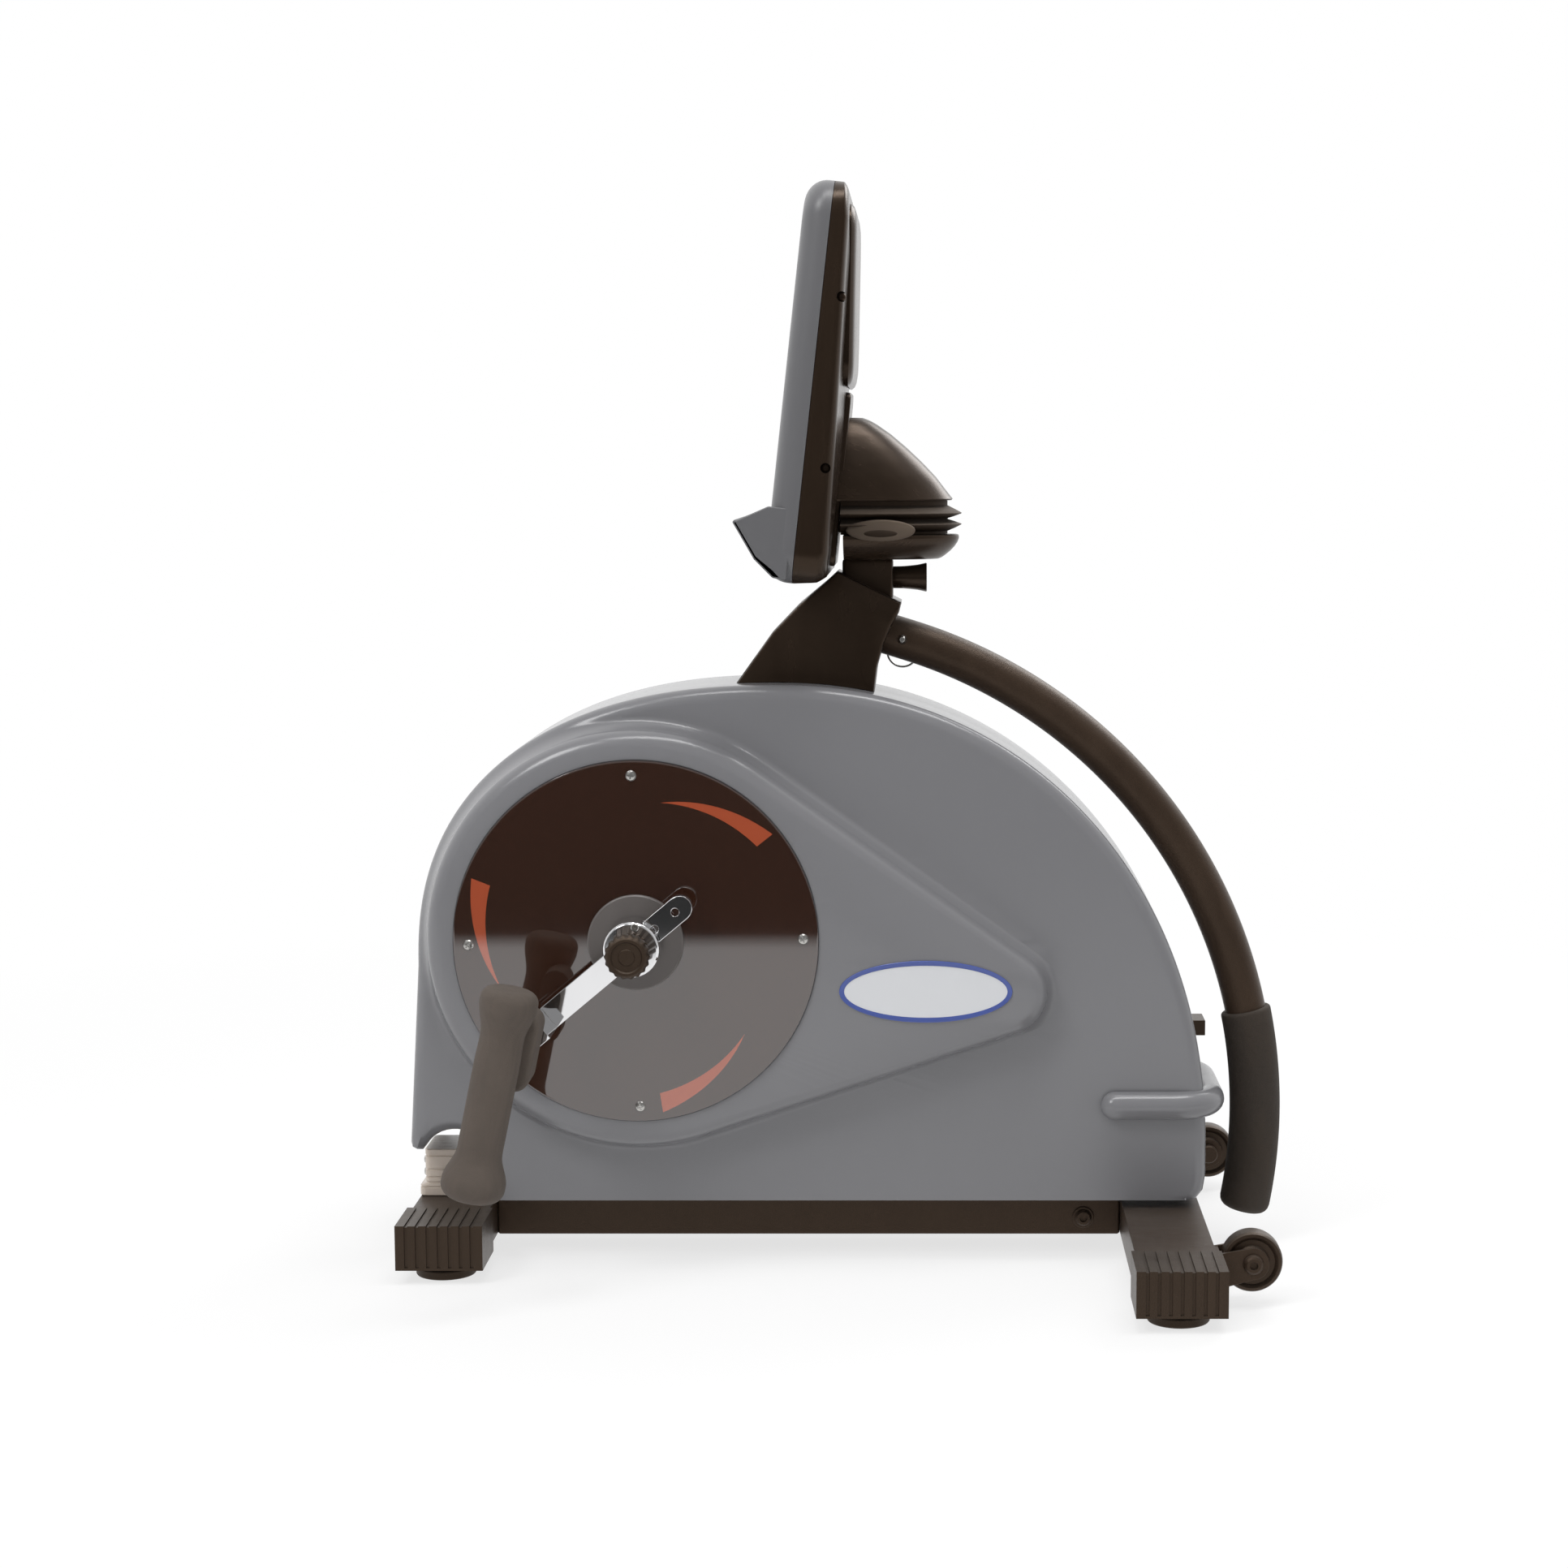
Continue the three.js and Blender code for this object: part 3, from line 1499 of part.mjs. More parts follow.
const rearProfileShares = [
  [0, 0],
  [0.8, 0.009],
  [1, 0.027],
  [1, 0.2],
  [0.8, 0.42],
  [0.8, 0.55],
  [0.69, 0.707],
  [0.55, 0.832],
  [0.36, 0.983],
  [0, 1],
];

function rearProfile(grow) {
  const points = scaledOutline(rearProfileShares, 0, 0, consoleRearDepth, consoleLength);
  return insetOutline(points, -grow);
}

const rackNoseShare = 0.75;
const rackFootShare = 0.2;
const rackHeelShare = 0.07;
const troughNoseShare = 0.72;
const troughFloorShare = 0.32;
const troughSlopeShare = 1.6;

function rackOutline() {
  const back = -consoleFrontDepth + consoleFrontRound;
  return [
    [back, rackHeight],
    [-consoleFrontDepth - rackLipStep, rackHeight],
    [-consoleFrontDepth - rackReach, rackHeight * rackNoseShare],
    [-consoleFrontDepth - rackFootStep, rackHeight * rackFootShare],
    [back, rackHeight * rackHeelShare],
  ];
}

function troughOutline() {
  const slope = rackWall * troughSlopeShare;
  return [
    [-consoleFrontDepth, rackHeight + overrun],
    [-consoleFrontDepth - rackReach + rackWall, rackHeight + overrun],
    [-consoleFrontDepth - rackReach + slope, rackHeight * troughNoseShare],
    [-consoleFrontDepth - slope, rackHeight * troughFloorShare],
    [-consoleFrontDepth, rackHeight * troughFloorShare],
  ];
}

function keyPlaces() {
  const places = [];
  for (let i = 0; i < keyCount; i++) places.push((i - (keyCount - 1) / 2) * keyPitch);
  return places;
}

function keyBox(y, grow) {
  const front = -consoleFrontDepth - keyProud;
  return box(
    front - grow,
    front + keyDepth + grow,
    y - keyWidth / 2 - grow,
    y + keyWidth / 2 + grow,
    keyCentre - keyHeight / 2 - grow,
    keyCentre + keyHeight / 2 + grow,
  );
}

function consoleFront() {
  const rack = prismAcross(rackOutline(), -rackHalfWidth, rackHalfWidth);
  const body = join(across(consoleOutline, 0, -consoleFrontDepth, consoleFrontRound, 3), rack);
  const cavity = across(
    (inset) => consoleOutline(inset + consoleWall),
    overrun,
    -consoleFrontDepth + consoleWall,
    consoleFrontRound - consoleWall,
    1,
  );
  const trough = prismAcross(troughOutline(), -rackHalfWidth + rackWall, rackHalfWidth - rackWall);
  const lens = lensOutline(fit);
  const pocketFloor = -consoleFrontDepth + lensThickness + fit;
  const lensPocket = across(lens, pocketFloor, -consoleFrontDepth - overrun, fit, 1);
  const window = across(lensOutline(-lensSeat), overrun, -consoleFrontDepth - overrun, fit, 1);
  return cut(body, cavity, trough, lensPocket, window, ...keyPlaces().map((y) => keyBox(y, fit)));
}

function lensOutline(grow) {
  const [halfWidth, halfHeight] = [lensWidth / 2 + grow, lensHeight / 2 + grow];
  return (inset) =>
    rectangleOutline(
      -halfWidth + inset,
      halfWidth - inset,
      lensCentre - halfHeight + inset,
      lensCentre + halfHeight - inset,
      lensCorner,
      3,
    );
}

const backPanelRootShare = 0.3;
const backPanelCrownShare = 0.42;

function backPanelOutline() {
  const [flatDepthShare, flatHeightShare] = rearProfileShares[5];
  const [bendDepthShare, bendHeightShare] = rearProfileShares[6];
  const depth = consoleRearDepth;
  return [
    [depth * backPanelRootShare, backPanelTop],
    [depth * backPanelCrownShare + backPanelRise, backPanelTop],
    [depth * bendDepthShare + backPanelRise, consoleLength * bendHeightShare],
    [depth * flatDepthShare + backPanelRise, consoleLength * flatHeightShare],
    [depth * flatDepthShare + backPanelRise / 2, backPanelBottom],
    [depth * backPanelRootShare, backPanelBottom],
  ];
}

function consoleRear() {
  const shellBlock = across(consoleOutline, fit, consoleRearDepth + fit, consoleRearRound, 2);
  const profile = prismAcross(rearProfile(0), -consoleWidth, consoleWidth);
  const body = shellBlock.intersect(profile);
  const cavityBlock = across(
    (inset) => consoleOutline(inset + consoleWall),
    -overrun,
    consoleRearDepth - consoleWall,
    consoleRearRound - consoleWall,
    1,
  );
  const innerPoints = rearProfile(-consoleWall).map(([t, s]) => [t < consoleWall + fit ? -overrun : t, s]);
  const cavity = cavityBlock.intersect(prismAcross(innerPoints, -consoleWidth, consoleWidth));
  const panel = prismAcross(backPanelOutline(), -backPanelHalfWidth, backPanelHalfWidth);
  return cut(join(body, panel), cavity);
}

const consoleGroup = new THREE.Group();
consoleGroup.position.set(consoleSetback, 0, consoleHeight);
consoleGroup.rotation.y = consoleLean * degree;

// A point of the base frame in the console's own axes.
function inConsole(x, z) {
  const [dx, dz] = [x - consoleSetback, z - consoleHeight];
  const [c, s] = [Math.cos(consoleLean * degree), Math.sin(consoleLean * degree)];
  return [dx * c - dz * s, dx * s + dz * c];
}

function buildConsole() {
  add(consoleGroup, "console_front", consoleFront(), bluePlastic);
  add(consoleGroup, "console_rear", consoleRear(), blackPlastic);
  const lensFace = -consoleFrontDepth;
  const lens = across(lensOutline(0), lensFace + lensThickness, lensFace, fit, 1);
  add(consoleGroup, "console_lens", lens, smokedLens);
  keyPlaces().forEach((y, i) => add(consoleGroup, "console_key_" + (i + 1), keyBox(y, 0), foam));
  root.add(consoleGroup);
}

// Tilt joint

const rearFace = consoleRearDepth + fit;
const hoodFace = rearFace + fit;

function buildTiltJoint() {
  const [pinT, pinS] = inConsole(lugSetback, tiltHeight);
  const earInner = lugWidth / 2 + fit;
  const plateBack = hoodFace + hoodFlange + fit;
  const plateFront = plateBack + tiltEarPlate;
  const ear = (y0) =>
    join(
      pinAcross(pinT, pinS, y0, y0 + tiltEarPlate, tiltEarRadius, 16),
      box(plateBack, pinT, y0, y0 + tiltEarPlate, tiltPlateBottom, pinS + tiltEarRadius),
    );
  const bracket = cut(
    join(
      ear(earInner),
      ear(-earInner - tiltEarPlate),
      box(
        plateBack,
        plateFront,
        -tiltPlateWidth / 2,
        tiltPlateWidth / 2,
        tiltPlateBottom,
        tiltPlateBottom + tiltPlateHeight,
      ),
    ),
    pinAcross(pinT, pinS, -lugWidth, lugWidth, tiltPinRadius + fit, 16),
  );
  add(consoleGroup, "tilt_bracket", bracket, blackSteel);

  const pinHalf = earInner + tiltEarPlate + fit;
  const pin = turned(
    [
      [0, -pinHalf - tiltPinHead],
      [tiltPinHeadRadius, -pinHalf - tiltPinHead],
      [tiltPinHeadRadius, -pinHalf],
      [tiltPinRadius, -pinHalf],
      [tiltPinRadius, pinHalf],
      [tiltPinHeadRadius, pinHalf],
      [tiltPinHeadRadius, pinHalf + tiltPinHead],
      [0, pinHalf + tiltPinHead],
    ],
    14,
  );
  add(root, "tilt_pin", pin, plainSteel).position.set(lugSetback, 0, tiltHeight);
}

// Half an ellipse behind the console, from its left edge round to its right.
function dShape(front, rear, halfWidth, z, steps) {
  const points = [];
  for (let i = 0; i <= steps; i++) {
    const turn = -Math.PI / 2 + (i / steps) * Math.PI;
    points.push(new THREE.Vector3(front + (rear - front) * Math.cos(turn), halfWidth * Math.sin(turn), z));
  }
  return points;
}

function flatUp(point) {
  return new THREE.Vector2(point.x, point.y);
}

// Where the console's back face, or a plane so far behind it, crosses a height.
function behindConsole(z, distance) {
  const s = (z - consoleHeight + distance * Math.sin(consoleLean * degree)) / Math.cos(consoleLean * degree);
  return consoleSetback + distance * Math.cos(consoleLean * degree) + s * Math.sin(consoleLean * degree);
}

const hoodSquareness = 0.9;

function hoodSwell(level) {
  return Math.sqrt(1 - level * level) ** hoodSquareness;
}

function hoodSolid(wall, floor) {
  const rise = hoodHeight - wall;
  const rings = [];
  const levelShares = [0, 0.2, 0.42, 0.63, 0.81, 0.93, 0.99];
  const front = behindConsole(hoodBottom, hoodFace);
  if (floor < hoodBottom) rings.push(dShape(front, hoodRear - wall, hoodHalfWidth - wall, floor, 14));
  for (const level of levelShares) {
    const swell = hoodSwell(level);
    const z = hoodBottom + rise * level;
    const start = behindConsole(z, hoodFace - overrun / 2);
    rings.push(dShape(start, front + (hoodRear - wall - front) * swell, (hoodHalfWidth - wall) * swell, z, 14));
  }
  return loft(rings, flatUp);
}

function placeInBase(made) {
  const geometry = geometryOf(made);
  geometry.rotateY(consoleLean * degree);
  return solid(geometry.translate(consoleSetback, 0, consoleHeight));
}

function buildHood() {
  const flange = placeInBase(
    box(
      rearFace - overrun,
      hoodFace + hoodFlange,
      -hoodFlangeHalfWidth,
      hoodFlangeHalfWidth,
      hoodFlangeBottom,
      hoodFlangeTop,
    ),
  );
  const consoleBody = placeInBase(
    join(
      prismAcross(rearProfile(2 * fit), -consoleWidth, consoleWidth),
      prismAcross(
        rearProfile(2 * fit).map(([t, s]) => [s > backPanelBottom ? t + backPanelRise : t, s]),
        -backPanelHalfWidth - fit,
        backPanelHalfWidth + fit,
      ),
    ),
  );
  const hood = cut(join(hoodSolid(0, hoodBottom), flange), consoleBody, hoodHollow());
  add(root, "tilt_hood", hood, blackPlastic);
}

function hoodHollow() {
  const front = behindConsole(hoodBottom, hoodFace + hoodFlange);
  const rise = hoodHeight - hoodWall;
  const levelShares = [0, 0.3, 0.6, 0.82];
  const rings = [dShape(front, hoodRear - hoodWall, hoodHalfWidth - hoodWall, hoodBottom - overrun, 12)];
  for (const level of levelShares) {
    const swell = hoodSwell(level);
    const z = hoodBottom + rise * level;
    const start = behindConsole(z, hoodFace + hoodFlange);
    const rear = front + (hoodRear - hoodWall - front) * swell;
    rings.push(dShape(start, rear, (hoodHalfWidth - hoodWall) * swell, z, 12));
  }
  return loft(rings, flatUp);
}

function buildBellows() {
  const [bottom, top] = [cupTop + fit, hoodBottom - fit];
  const foldShares = [
    [0, 1],
    [0.12, 1],
    [0.32, 0],
    [0.48, 1],
    [0.64, 0],
    [0.84, 1],
    [1, 1],
  ];
  const rings = foldShares.map(([level, tuck]) => {
    const z = bottom + (top - bottom) * level;
    const front = behindConsole(z, hoodFace + hoodFlange) + cupConsoleGap / 2;
    const inset = bellowsFoldDepth * tuck;
    return dShape(front, bellowsRear - inset, bellowsHalfWidth - inset, z, 16);
  });
  const inner = bellowsFoldDepth + bellowsWall;
  const bore = [bottom - overrun, top + overrun].map((z) => {
    const front = behindConsole(z, hoodFace + hoodFlange) - overrun;
    return dShape(front, bellowsRear - inner, bellowsHalfWidth - inner, z, 12);
  });
  add(root, "bellows", cut(loft(rings, flatUp), loft(bore, flatUp)), blackPlastic);
}

function buildCup() {
  const front = behindConsole(cupBottom, hoodFace + hoodFlange) + cupConsoleGap;
  const bowlShares = [
    [0, 1],
    [0.35, 0.33],
    [0.75, 0],
    [1, 0],
  ];
  const bowl = (wall, lift, overlap) =>
    bowlShares.map(([level, tuck]) => {
      const inset = cupFloorInset * tuck;
      const z = cupBottom + lift + (cupTop - cupBottom - lift + overlap) * level;
      return dShape(front + wall, cupRear - inset - wall, bellowsHalfWidth - inset - wall, z, 16);
    });
  const lugHole = box(
    lugSetback - tiltEarRadius - fit,
    lugSetback + tiltEarRadius + fit,
    -lugWidth / 2 - fit,
    lugWidth / 2 + fit,
    cupBottom - overrun,
    cupBottom + cupWall + overrun,
  );
  const cup = cut(loft(bowl(0, 0, 0), flatUp), loft(bowl(cupWall, cupWall, overrun), flatUp), lugHole);
  add(root, "bellows_cup", cup, blackPlastic);
}

function buildTiltKnob() {
  const stemStart = lugSetback + tiltEarRadius - tiltKnobStemDepth + fit - tiltKnobStart;
  const length = tiltKnobLength;
  const flareShares = [
    [0, 0],
    [0, 0.45],
    [0.3, 0.75],
    [1, 1],
  ];
  const flared = flareShares.map(([flare, along]) => [
    tiltKnobRadius + (tiltKnobFlare - tiltKnobRadius) * flare,
    length * along,
  ]);
  const profile = [
    [0, stemStart],
    [tiltKnobStem, stemStart],
    [tiltKnobStem, 0],
    ...flared,
    [tiltKnobFlare - tiltKnobRim, length],
    [0, length - tiltKnobDish],
  ];
  const knob = turnedGeometry(profile, 18).rotateZ(-Math.PI / 2);
  add(root, "tilt_knob", solid(knob), blackPlastic).position.set(tiltKnobStart, 0, tiltKnobHeight);
}

// Support arm

// The centre line of the tube, made longer at both ends by extra.
function armPath(extra) {
  const start = pointOnArmSocket(-armSocket - extra);
  const path = new THREE.Path();
  path.moveTo(start.x, start.z);
  path.lineTo(armSocketSetback, armSocketHeight);
  path.absarc(armArcSetback, armArcHeight, armArcRadius, armStartTurn, armMiddleTurn, true);
  path.absarc(...endArcCentre, armEndArcRadius, armMiddleTurn, armEndTurn - extra / armEndArcRadius, true);
  return path;
}

function foamPath(startTurn, extra) {
  const path = new THREE.Path();
  path.absarc(armArcSetback, armArcHeight, armArcRadius, startTurn, armMiddleTurn, true);
  path.absarc(...endArcCentre, armEndArcRadius, armMiddleTurn, armEndTurn - extra / armEndArcRadius, true);
  return path;
}

// The stations of a path: its straight start, and then equal steps.
function stations(path, straight, steps) {
  const first = straight / path.getLength();
  const shares = straight > 0 ? [0] : [];
  for (let i = 0; i <= steps; i++) shares.push(first + ((1 - first) * i) / steps);
  return shares;
}

// The radius whose many-sided outline clears a round one.
function clearOf(radius, sides) {
  return radius / Math.cos(Math.PI / sides);
}

function buildArm() {
  const tubePath = armPath(0);
  const borePath = armPath(overrun);
  const outer = sweep(tubePath, stations(tubePath, armSocket, armSteps), () => armRadius, armSides);
  const boreStations = stations(borePath, armSocket + overrun, armSteps);
  const bore = sweep(borePath, boreStations, () => armRadius - armWall, armSides);
  add(root, "support_arm", cut(outer, bore, armPinHole(lockPinRadius + fit)), blackSteel);

  const foamRadius = armRadius + fit + foamThickness;
  const foamTurn = foamTopAngle * degree;
  const body = foamPath(foamTurn, foamEndCover);
  const roundShare = foamThickness / body.getLength();
  const shares = stations(body, 0, foamSteps).map((share) => share * (1 - roundShare));
  shares.push(1 - roundShare / 3, 1);
  const swell = (share) => {
    if (share <= 1 - roundShare) return foamRadius;
    return foamRadius - (share < 1 ? foamThickness / 3 : foamThickness);
  };
  const sleeve = sweep(body, shares, swell, armSides);
  const hollowPath = foamPath(foamTurn + overrun / armArcRadius, fit);
  const hollowRadius = clearOf(armRadius + fit, armSides);
  const hollow = sweep(hollowPath, stations(hollowPath, 0, 2 * foamSteps), () => hollowRadius, armSides);
  add(root, "arm_grip", cut(sleeve, hollow), foam);
}

function buildLockPin() {
  const at = pointOnArmSocket(-lockPinFromBend);
  const seat = armRadius + fit;
  const headEnd = seat + lockPinHead;
  const tongueEnd = headEnd + lockPinTongue;
  const pin = join(
    turned(
      [
        [0, -armRadius - lockPinTip],
        [lockPinRadius / 2, -armRadius - lockPinTip],
        [lockPinRadius, -armRadius],
        [lockPinRadius, seat],
        [lockPinHeadRadius, seat],
        [lockPinHeadRadius, headEnd],
        [0, headEnd],
      ],
      16,
    ),
    box(
      -lockPinTongueWidth / 2,
      lockPinTongueWidth / 2,
      headEnd - fit,
      tongueEnd,
      -lockPinTongue / 2,
      lockPinTongue / 2,
    ),
  );
  const holeAt = headEnd + lockPinTongue / 2;
  const hole = rod(
    new THREE.Vector3(-lockPinTongueWidth, holeAt, 0),
    new THREE.Vector3(lockPinTongueWidth, holeAt, 0),
    pinRingHole,
    10,
  );
  add(root, "lock_pin", cut(pin, hole), plainSteel).position.copy(at);
  const loop = new THREE.TorusGeometry(pinRingRadius, pinRingWire, 6, 24);
  loop.rotateX(Math.PI / 2).translate(0, holeAt, -pinRingRadius);
  add(root, "pin_ring", solid(loop), plainSteel).position.copy(at);
}

buildBase();
buildRiser();
buildWheels();
buildMast();
buildCasing();
buildDrive();
buildFlywheelSupport();
buildCranks();
buildMastCover();
buildConsole();
buildTiltJoint();
buildHood();
buildBellows();
buildCup();
buildTiltKnob();
buildArm();
buildLockPin();

// The whole stands centred on its origin.
const frontmost = -stabilizerWidth / 2 - capSideWall - fit;
const rearmost = endArcCentre[0] + armEndArcRadius + armRadius + fit + foamThickness;
root.position.x = -(frontmost + rearmost) / 2;

export default root;
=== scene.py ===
"""Arm ergometer: finer forms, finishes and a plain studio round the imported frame."""

import math

import bpy
import numpy as np
from bpy.props import FloatProperty, FloatVectorProperty, IntProperty, PointerProperty
from mathutils import Matrix, Vector


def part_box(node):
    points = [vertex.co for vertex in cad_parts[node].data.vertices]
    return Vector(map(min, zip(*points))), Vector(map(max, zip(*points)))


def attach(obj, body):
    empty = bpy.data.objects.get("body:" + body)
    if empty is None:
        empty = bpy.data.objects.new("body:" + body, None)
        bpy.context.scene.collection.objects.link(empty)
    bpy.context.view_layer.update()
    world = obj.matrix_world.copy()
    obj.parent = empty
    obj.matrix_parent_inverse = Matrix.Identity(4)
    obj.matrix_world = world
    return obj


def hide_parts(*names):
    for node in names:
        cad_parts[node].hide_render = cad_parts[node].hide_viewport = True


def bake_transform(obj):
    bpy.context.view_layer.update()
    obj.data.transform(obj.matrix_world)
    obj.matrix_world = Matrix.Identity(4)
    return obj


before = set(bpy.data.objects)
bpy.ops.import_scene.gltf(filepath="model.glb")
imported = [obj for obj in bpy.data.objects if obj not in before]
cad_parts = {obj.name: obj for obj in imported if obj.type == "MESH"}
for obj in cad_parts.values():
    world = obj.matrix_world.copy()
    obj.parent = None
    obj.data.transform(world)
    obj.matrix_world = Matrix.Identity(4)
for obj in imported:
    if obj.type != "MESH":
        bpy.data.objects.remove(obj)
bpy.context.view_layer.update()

bl_info = {
    "name": "Arm ergometer",
    "version": (1, 0, 0),
    "blender": (4, 5, 0),
    "location": "View3D > Sidebar > Ergometer",
    "description": "Finer forms and finishes for an arm ergometer",
    "category": "Object",
}

MM = 0.001
SIDES = (("near", -1), ("far", 1))


def middle(node):
    low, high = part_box(node)
    return (Vector(low) + Vector(high)) / 2


# Places read from the frame
ORIGIN_X = middle("front_stabilizer").x
CRANK = middle("crank_bearing")
CRANK_MIDDLE = Vector((CRANK.x, 0, CRANK.z))
FLYWHEEL = middle("flywheel")


def place(x, y, z):
    """A point given in millimetres from the front stabiliser's centre, in the frame's metres."""
    return Vector((ORIGIN_X + x * MM, y * MM, z * MM))


def length(description, default):
    return FloatProperty(description=description, default=default, min=0, unit="LENGTH", subtype="DISTANCE")


def angle(description, degrees):
    return FloatProperty(description=description, default=math.radians(degrees), subtype="ANGLE")


def colour(description, default):
    return FloatVectorProperty(
        description=description, default=default, size=3, min=0, max=1, subtype="COLOR"
    )


def strength(description, default):
    return FloatProperty(description=description, default=default, min=0)


class CasingSettings(bpy.types.PropertyGroup):
    half_width: length("From the seam to a side face", 0.061)
    edge_round: length("Radius of the outer edge", 0.010)
    wall: length("Thickness of the moulding", 0.003)
    boss_reach: length("From the seam to the face over the belt drive", 0.086)
    boss_round: length("Radius of the boss's edge", 0.013)
    boss_foot: length("Width of the hollow curve at the boss's foot", 0.009)
    boss_radius: length("Radius round the crank", 0.160)
    nose_radius: length("Radius of the boss's nose", 0.032)
    nose_forward: length("From the flywheel's axle forwards to the nose's centre", 0.0084)
    nose_drop: length("From the flywheel's axle down to the nose's centre", 0.0037)
    spacing: length("Distance between points of the outline", 0.0042)
    handle_radius: length("Radius of the moulded lift handle", 0.011)


class DiscSettings(bpy.types.PropertyGroup):
    radius: length("Radius of the cover disc", 0.138)
    ring_radius: length("Radius of the raised ring round the hub", 0.0365)
    screw_circle: length("Radius that the screws sit on", 0.1266)
    screw_radius: length("Radius of a screw head", 0.0041)
    badge_length: length("Half length of the oval plate", 0.0657)
    badge_height: length("Half height of the oval plate", 0.0238)


class CrankSettings(bpy.types.PropertyGroup):
    turn: angle("Angle of the near crank below level", 40)
    length: length("From the shaft to the swivel", 0.097)
    lean: angle("Lean of the grips", 11.9)
    knob_radius: length("Radius of the clamp knob", 0.017)
    flutes: IntProperty(description="Flutes round the clamp knob", default=18, min=6, max=40)
    grip_radius: length("Radius of the grip at its waist", 0.0165)
    grip_top: length("Radius of the grip's upper swelling", 0.021)
    grip_bottom: length("Radius of the grip's lower swelling", 0.0233)


class ConsoleSettings(bpy.types.PropertyGroup):
    width: length("Width of the console", 0.220)
    height: length("Height of the console along its back", 0.297)
    corner: length("Radius of a corner seen from the front", 0.026)
    lean: angle("Lean away from the user", 6.44)
    front_depth: length("From the seam to the front face", 0.021)
    front_round: length("Radius of the front edge", 0.017)
    rear_depth: length("From the seam to the rear face", 0.025)


class ArmSettings(bpy.types.PropertyGroup):
    radius: length("Radius of the support arm", 0.016)
    foam: length("Thickness of the foam sleeve", 0.0038)


class FinishSettings(bpy.types.PropertyGroup):
    casing: colour("Grey moulded plastic", (0.178, 0.178, 0.187))
    black: colour("Warm black moulded plastic", (0.0145, 0.0092, 0.0060))
    steel_paint: colour("Powder coat of the frame", (0.027, 0.0175, 0.012))
    disc: colour("Dark brown cover disc", (0.030, 0.0125, 0.0075))
    mark: colour("Orange marks on the disc", (0.36, 0.072, 0.03))
    foam: colour("Grip foam", (0.084, 0.067, 0.055))
    dark_foam: colour("Foam of the support arm", (0.026, 0.018, 0.012))
    riser: colour("Pale ribbed block", (0.58, 0.50, 0.43))
    rim: colour("Rim of the oval plate", (0.06, 0.09, 0.30))


class StudioSettings(bpy.types.PropertyGroup):
    focal_length: FloatProperty(description="Lens of the camera", default=65.217, subtype="DISTANCE_CAMERA")
    camera_distance: length("From the mid-plane to the camera", 2.206)
    camera_height: length("Height of the camera", 0.623)
    camera_pitch: angle("How far the camera looks down", 6.6167)
    daylight: strength("Strength of the even light", 0.62)
    backdrop: strength("How bright the back mirrors", 1.15)
    room: strength("How bright the camera's side mirrors", 0.30)


SETTINGS = {
    "casing": CasingSettings,
    "disc": DiscSettings,
    "crank": CrankSettings,
    "console": ConsoleSettings,
    "arm": ArmSettings,
    "finish": FinishSettings,
    "studio": StudioSettings,
}


def settings(name):
    return getattr(bpy.context.scene, "ergometer_" + name)


# Modelling helpers


def deselect():
    if bpy.context.object and bpy.context.object.mode != "OBJECT":
        bpy.ops.object.mode_set(mode="OBJECT")
    bpy.ops.object.select_all(action="DESELECT")


def select(*pieces):
    deselect()
    for piece in pieces:
        piece.select_set(True)
    bpy.context.view_layer.objects.active = pieces[0]


def named(name):
    """Names the piece that was made last."""
    piece = bpy.context.object
    piece.name = piece.data.name = name
    return piece


def edit(piece, *steps):
    """Takes steps of mesh editing, each on the whole piece."""
    select(piece)
    bpy.ops.object.mode_set(mode="EDIT")
    for step in steps:
        bpy.ops.mesh.select_all(action="SELECT")
        step()
    bpy.ops.object.mode_set(mode="OBJECT")
    return piece


def weld():
    bpy.ops.mesh.remove_doubles(threshold=0.01 * MM)


def close_ends():
    bpy.ops.mesh.fill_holes(sides=0)


def face_out():
    bpy.ops.mesh.normals_make_consistent(inside=False)


def settle():
    """Takes the place, turn and size of the piece made last into its mesh."""
    bpy.ops.object.transform_apply(location=True, rotation=True, scale=True)


def smooth(piece, limit=32):
    select(piece)
    bpy.ops.object.shade_smooth_by_angle(angle=math.radians(limit))
    return piece


def modified(piece, kind, **values):
    """Adds a modifier with its settings, and gives its name."""
    modifier = piece.modifiers.new(kind.title(), kind)
    for key, value in values.items():
        setattr(modifier, key, value)
    return modifier.name


def applied(piece, kind, **values):
    name = modified(piece, kind, **values)
    select(piece)
    bpy.ops.object.modifier_apply(modifier=name)
    return piece


def grid_piece(name, rows):
    """A grid laid on rows of points, and sewn along its seam once it is welded."""
    deselect()
    across, along = len(rows[0]), len(rows) - 1
    bpy.ops.mesh.primitive_grid_add(x_subdivisions=across, y_subdivisions=along, size=1, location=(0, 0, 0))
    piece = named(name)
    flat = np.array([tuple(point) for row in rows for point in (*row, row[0])], dtype=np.float32)
    piece.data.vertices.foreach_set("co", flat.ravel())
    piece.data.update()
    return piece


def skin(name, rows, limit=32):
    """A closed piece over rows of points, with its faces turned outwards."""
    return smooth(edit(grid_piece(name, rows), weld, close_ends, face_out), limit)


def moved(piece, matrix):
    """Moves a piece's points, and turns its faces out again where the move mirrors it."""
    piece.data.transform(matrix)
    return edit(piece, face_out) if matrix.determinant() < 0 else piece


def turns(count):
    return [2 * math.pi * i / count for i in range(count)]


def ring(radius, height, sides, flutes=0, depth=0):
    """A circle round Z, with flutes of a depth in it."""
    points = []
    for turn in turns(sides):
        r = radius - depth * (0.5 - 0.5 * math.cos(flutes * turn))
        points.append(Vector((r * math.cos(turn), r * math.sin(turn), height)))
    return points


